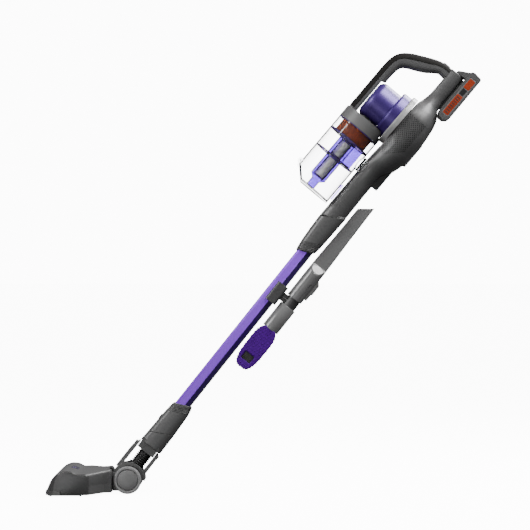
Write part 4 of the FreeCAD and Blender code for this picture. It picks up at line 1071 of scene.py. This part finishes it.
# ---- floor head ----
# The head's top line from the side, front edge from above (y, x), and back edge from above (y, x).
TOP_LINE = [(-154.6, -8.0), (-152.6, -2.5), (-150.4, 3.0), (-147.0, 9.6), (-140.5, 17.9), (-130.3, 25.3),
            (-117.6, 28.7), (-106.0, 27.6), (-98.5, 24.0), (-93.0, 22.0), (-75.0, 22.6), (-55.0, 24.0),
            (-29.0, 27.0)]
PLAN_FRONT = [(108.0, -154.6), (113.0, -154.0), (118.0, -151.6), (122.0, -147.6), (125.0, -141.0)]
PLAN_BACK = [(0.0, -29.0), (61.0, -29.0), (68.0, -44.0), (125.0, -74.0)]
FOOT_Z = -19.5
HEAD_HALF = 125.0
# Where the nose's curve starts, which is stretched to meet the front edge as it tapers.
NOSE_X = -135


def head_hull(inset=0.0):
    """The head's closed outer body, or its hollow when inset by the wall."""
    ends, crown = 4.0, 7.0
    reach = HEAD_HALF - inset
    stations = [0, 30, 52, 58, 61, 64, 68, 74, 80, 88, 96, 104, 110, 114, 117, 119, 120.5, 122, 123.4,
                124.4, 125]
    stations = sorted({min(s, reach) for s in stations})
    rings = []
    for y in [-s for s in reversed(stations[1:])] + stations:
        front = along(PLAN_FRONT, abs(y))[0] + inset
        back = PLAN_BACK[-1][1]
        for (ya, xa), (yb, xb) in zip(PLAN_BACK, PLAN_BACK[1:]):
            if ya <= abs(y) <= yb:
                back = xa + (xb - xa) * (abs(y) - ya) / (yb - ya)
                break
        back -= inset * 1.15
        ring = []
        count = 64
        for k in range(count + 1):
            u = (1 - math.cos(math.pi * k / count)) / 2
            x = front + (back - front) * u
            lookup = x if x > NOSE_X else -154.6 + (x - front) / (NOSE_X - front) * 19.6
            z = along(TOP_LINE, lookup)[0] - inset
            for radius, gap in ((crown, back - x), (ends, reach - abs(y))):
                if gap < radius:
                    z -= radius - math.sqrt(max(radius**2 - (radius - gap)**2, 0.0))
            ring.append((x, y, z))
        low = FOOT_Z if not inset else FOOT_Z - 20
        ring += [(back, y, low), ((front + back) / 2, y, low), (front, y, low)]
        rings.append(ring)
    return skin(rings)


def above_seam():
    """Everything above the line where the top cover meets the base."""
    return slab([(-200, -13), (-150, -11), (-111, -2.5), (-60, -1.5), (0, -0.5), (0, 60), (-200, 60)],
                -140, 140)


def head_cover():
    """Top cover, end caps and the tinted window over the brush."""
    whole = head_hull()
    near_cap = halved(whole.copy(), (0, -119.15, 0), (0, 1, 0))
    far_cap = halved(whole.copy(), (0, 119.15, 0), (0, -1, 0))
    middle = halved(halved(whole, (0, -118.9, 0), (0, -1, 0)), (0, 118.9, 0), (0, 1, 0))
    room = turned(rect(0.0, 39.2, -26.5, 26.5), "y", WHEEL_AXLE, 64)
    above = slab(rect(-36, 40, 0, 60), -26.5, 26.5)
    cover = combined(middle, "INTERSECT", above_seam())
    cover = cut(cover, head_hull(2.4), room, above)
    piece("head_cover", cover, LEVEL, "floor_head", "charcoal_plastic", ["head_top_cover"], bevel=0.6,
          segments=2, angle=50, weighted=False)
    piece("end_cap_near", near_cap, LEVEL, "floor_head", "charcoal_plastic", ["end_caps"], bevel=0.5,
          segments=2, angle=50, weighted=False, look="end_grey")
    piece("end_cap_far", far_cap, LEVEL, "floor_head", "charcoal_plastic", bevel=0.5, segments=2, angle=50,
          weighted=False, look="end_grey")
    xs = [-113.0 + 14.6 * k / 16 for k in range(17)]
    strip = [(x, along(TOP_LINE, x)[0] + 0.25) for x in xs]
    strip += [(x, along(TOP_LINE, x)[0] - 1.8) for x in reversed(xs)]
    piece("brush_view", slab(strip, -26, 26), LEVEL, "floor_head", "purple_tint", ["brush_window"], bevel=0.4)


def wheels():
    """Both wheels: a tyre-shaped rim and a domed cap."""
    for side, sign in (("left", -1), ("right", 1)):
        rim = turned([(6.1, 43 * sign), (24.5, 43 * sign, 1), (26.0, 43.6 * sign, 1), (28.0, 46 * sign, 2),
                      (28.0, 53 * sign, 2.5), (26.2, 56 * sign, 1.5), (22.4, 56 * sign, 0.7),
                      (21.6, 54.3 * sign, 0.4), (20.6, 54.0 * sign, 0.2), (20.6, 52.6 * sign),
                      (6.1, 52.6 * sign)], "y", WHEEL_AXLE)
        piece(side + "_wheel_rim", rim, LEVEL, "wheel_" + side, "wheel_plastic", [side + "_wheel"],
              weighted=False)
        cap = turned([(0.0, 53.0 * sign), (20.3, 53.0 * sign, 0.2), (20.3, 55.2 * sign, 0.8),
                      (19.0, 55.9 * sign, 1.0), (12.0, 57.0 * sign, 6.0), (0.0, 57.6 * sign)], "y",
                     WHEEL_AXLE)
        piece(side + "_wheel_cap", cap, LEVEL, "wheel_" + side, "wheel_plastic", weighted=False,
              look="cap_plastic")


def bristles():
    """Tufts in four V-shaped rows round the roll."""
    random.seed(7)
    reach_y = 103.0
    tufts = []
    for row in range(4):
        for number in range(66):
            y = -reach_y + 2 * reach_y * number / 65
            turn = math.radians(row * 90 + 58 * abs(y) / reach_y + random.uniform(-1.5, 1.5))
            out = Vector((math.sin(turn), 0, math.cos(turn)))
            side = Vector((out.z, 0, -out.x))
            rings = []
            for radius, reach in ((1.5, 12.5), (1.35, 18.0), (1.2, 22.8 + random.uniform(-0.5, 0.4))):
                centre = Vector((-117.0, y, 1.0)) + out * reach
                rings.append([tuple(centre + side * radius * math.cos(math.pi * k / 3)
                                    + Vector((0, radius * math.sin(math.pi * k / 3), 0)))
                              for k in range(6)])
            tufts.append(skin(rings))
    piece("roll_bristles", joined(*tufts), LEVEL, "brush_roll", "bristle", ["brush_bristles"],
          weighted=False)


head_cover()
wheels()
bristles()


# ---- stage, light and camera, in metres ----
def pale_floor():
    """A glowing floor that lights nothing and shows in no reflection or clear part."""
    bm = bmesh.new()
    bmesh.ops.create_circle(bm, cap_ends=True, segments=96, radius=60.0)
    mesh = bpy.data.meshes.new("floor")
    bm.to_mesh(mesh)
    bm.free()
    floor = bpy.data.objects.new("floor", mesh)
    bpy.context.scene.collection.objects.link(floor)
    floor.location = (-0.3, 0.0, cad_box[0][2])
    surface("floor_paint", (0.9, 0.9, 0.9), 0.6, mottle=0.01, mottle_scale=3.0,
            Emission_Color=(1, 1, 1, 1), Emission_Strength=11.2)
    mesh.materials.append(MATERIALS["floor_paint"])
    floor.visible_glossy = False
    floor.visible_diffuse = False
    floor.visible_transmission = False


def area_light(name, offset, size, power, wide=1.0):
    """A soft rectangular light aimed at the middle of the object."""
    middle = Vector((-0.3, 0.0, -0.43))
    light = bpy.data.lights.new(name, "AREA")
    light.shape = "RECTANGLE"
    light.size = size * wide
    light.size_y = size
    light.energy = power
    obj = bpy.data.objects.new(name, light)
    obj.location = middle + Vector(offset)
    obj.rotation_euler = (-Vector(offset)).to_track_quat("-Z", "Y").to_euler()
    bpy.context.scene.collection.objects.link(obj)


def studio():
    """A world that is white to the camera, straight or through clear parts, and a dim gradient to
    all else; and four lights."""
    world = bpy.data.worlds.new("studio")
    bpy.context.scene.world = world
    world.use_nodes = True
    tree = world.node_tree
    dim = tree.nodes["Background"]

    def add(kind, operation=None):
        node = tree.nodes.new("ShaderNode" + kind)
        if operation:
            node.operation = operation
        return node

    def link(node, output, other, socket):
        tree.links.new(node.outputs[output], other.inputs[socket])

    # dim grey from below to above
    coords, split, half, ramp = add("TexCoord"), add("SeparateXYZ"), add("MapRange"), add("ValToRGB")
    half.inputs["From Min"].default_value = -1.0
    ramp.color_ramp.elements[0].color = (0.1, 0.1, 0.102, 1)
    ramp.color_ramp.elements[1].color = (0.45, 0.45, 0.46, 1)
    ramp.color_ramp.elements.new(0.5).color = (0.17, 0.17, 0.172, 1)
    link(coords, "Generated", split, "Vector")
    link(split, "Z", half, "Value")
    link(half, "Result", ramp, "Fac")
    link(ramp, "Color", dim, "Color")

    white = add("Background")
    white.inputs["Color"].default_value = (1.0, 1.0, 1.0, 1)
    white.inputs["Strength"].default_value = 12.0

    # camera rays, and rays through clear parts that have not bounced off anything on the way
    path, bounces = add("LightPath"), add("Math")
    through, seen = add("Math", "GREATER_THAN"), add("Math", "MAXIMUM")
    link(path, "Diffuse Depth", bounces, 0)
    link(path, "Glossy Depth", bounces, 1)
    link(path, "Is Transmission Ray", through, 0)
    link(bounces, 0, through, 1)
    link(path, "Is Camera Ray", seen, 0)
    link(through, 0, seen, 1)

    mix = add("MixShader")
    link(seen, 0, mix, "Fac")
    link(dim, 0, mix, 1)
    link(white, 0, mix, 2)
    link(mix, 0, tree.nodes["World Output"], "Surface")
    area_light("overhead", (1.35, -0.45, 1.6), 0.9, 88.0, wide=1.5)
    area_light("key", (-1.7, -1.1, 1.4), 0.9, 48.0)
    area_light("fill", (-1.3, -3.2, -0.2), 1.6, 30.0)
    area_light("back", (1.3, 1.3, 1.6), 0.9, 60.0)


def photo_camera():
    """A level camera with a long lens, square to the side."""
    data = bpy.data.cameras.new("camera")
    data.sensor_width = 36.0
    data.lens = 179.8
    camera = bpy.data.objects.new("camera", data)
    camera.location = (-0.3032, -5.4, -0.4130)
    camera.rotation_euler = (math.radians(90.0), 0.0, 0.0)
    bpy.context.scene.collection.objects.link(camera)
    bpy.context.scene.camera = camera


pale_floor()
studio()
photo_camera()
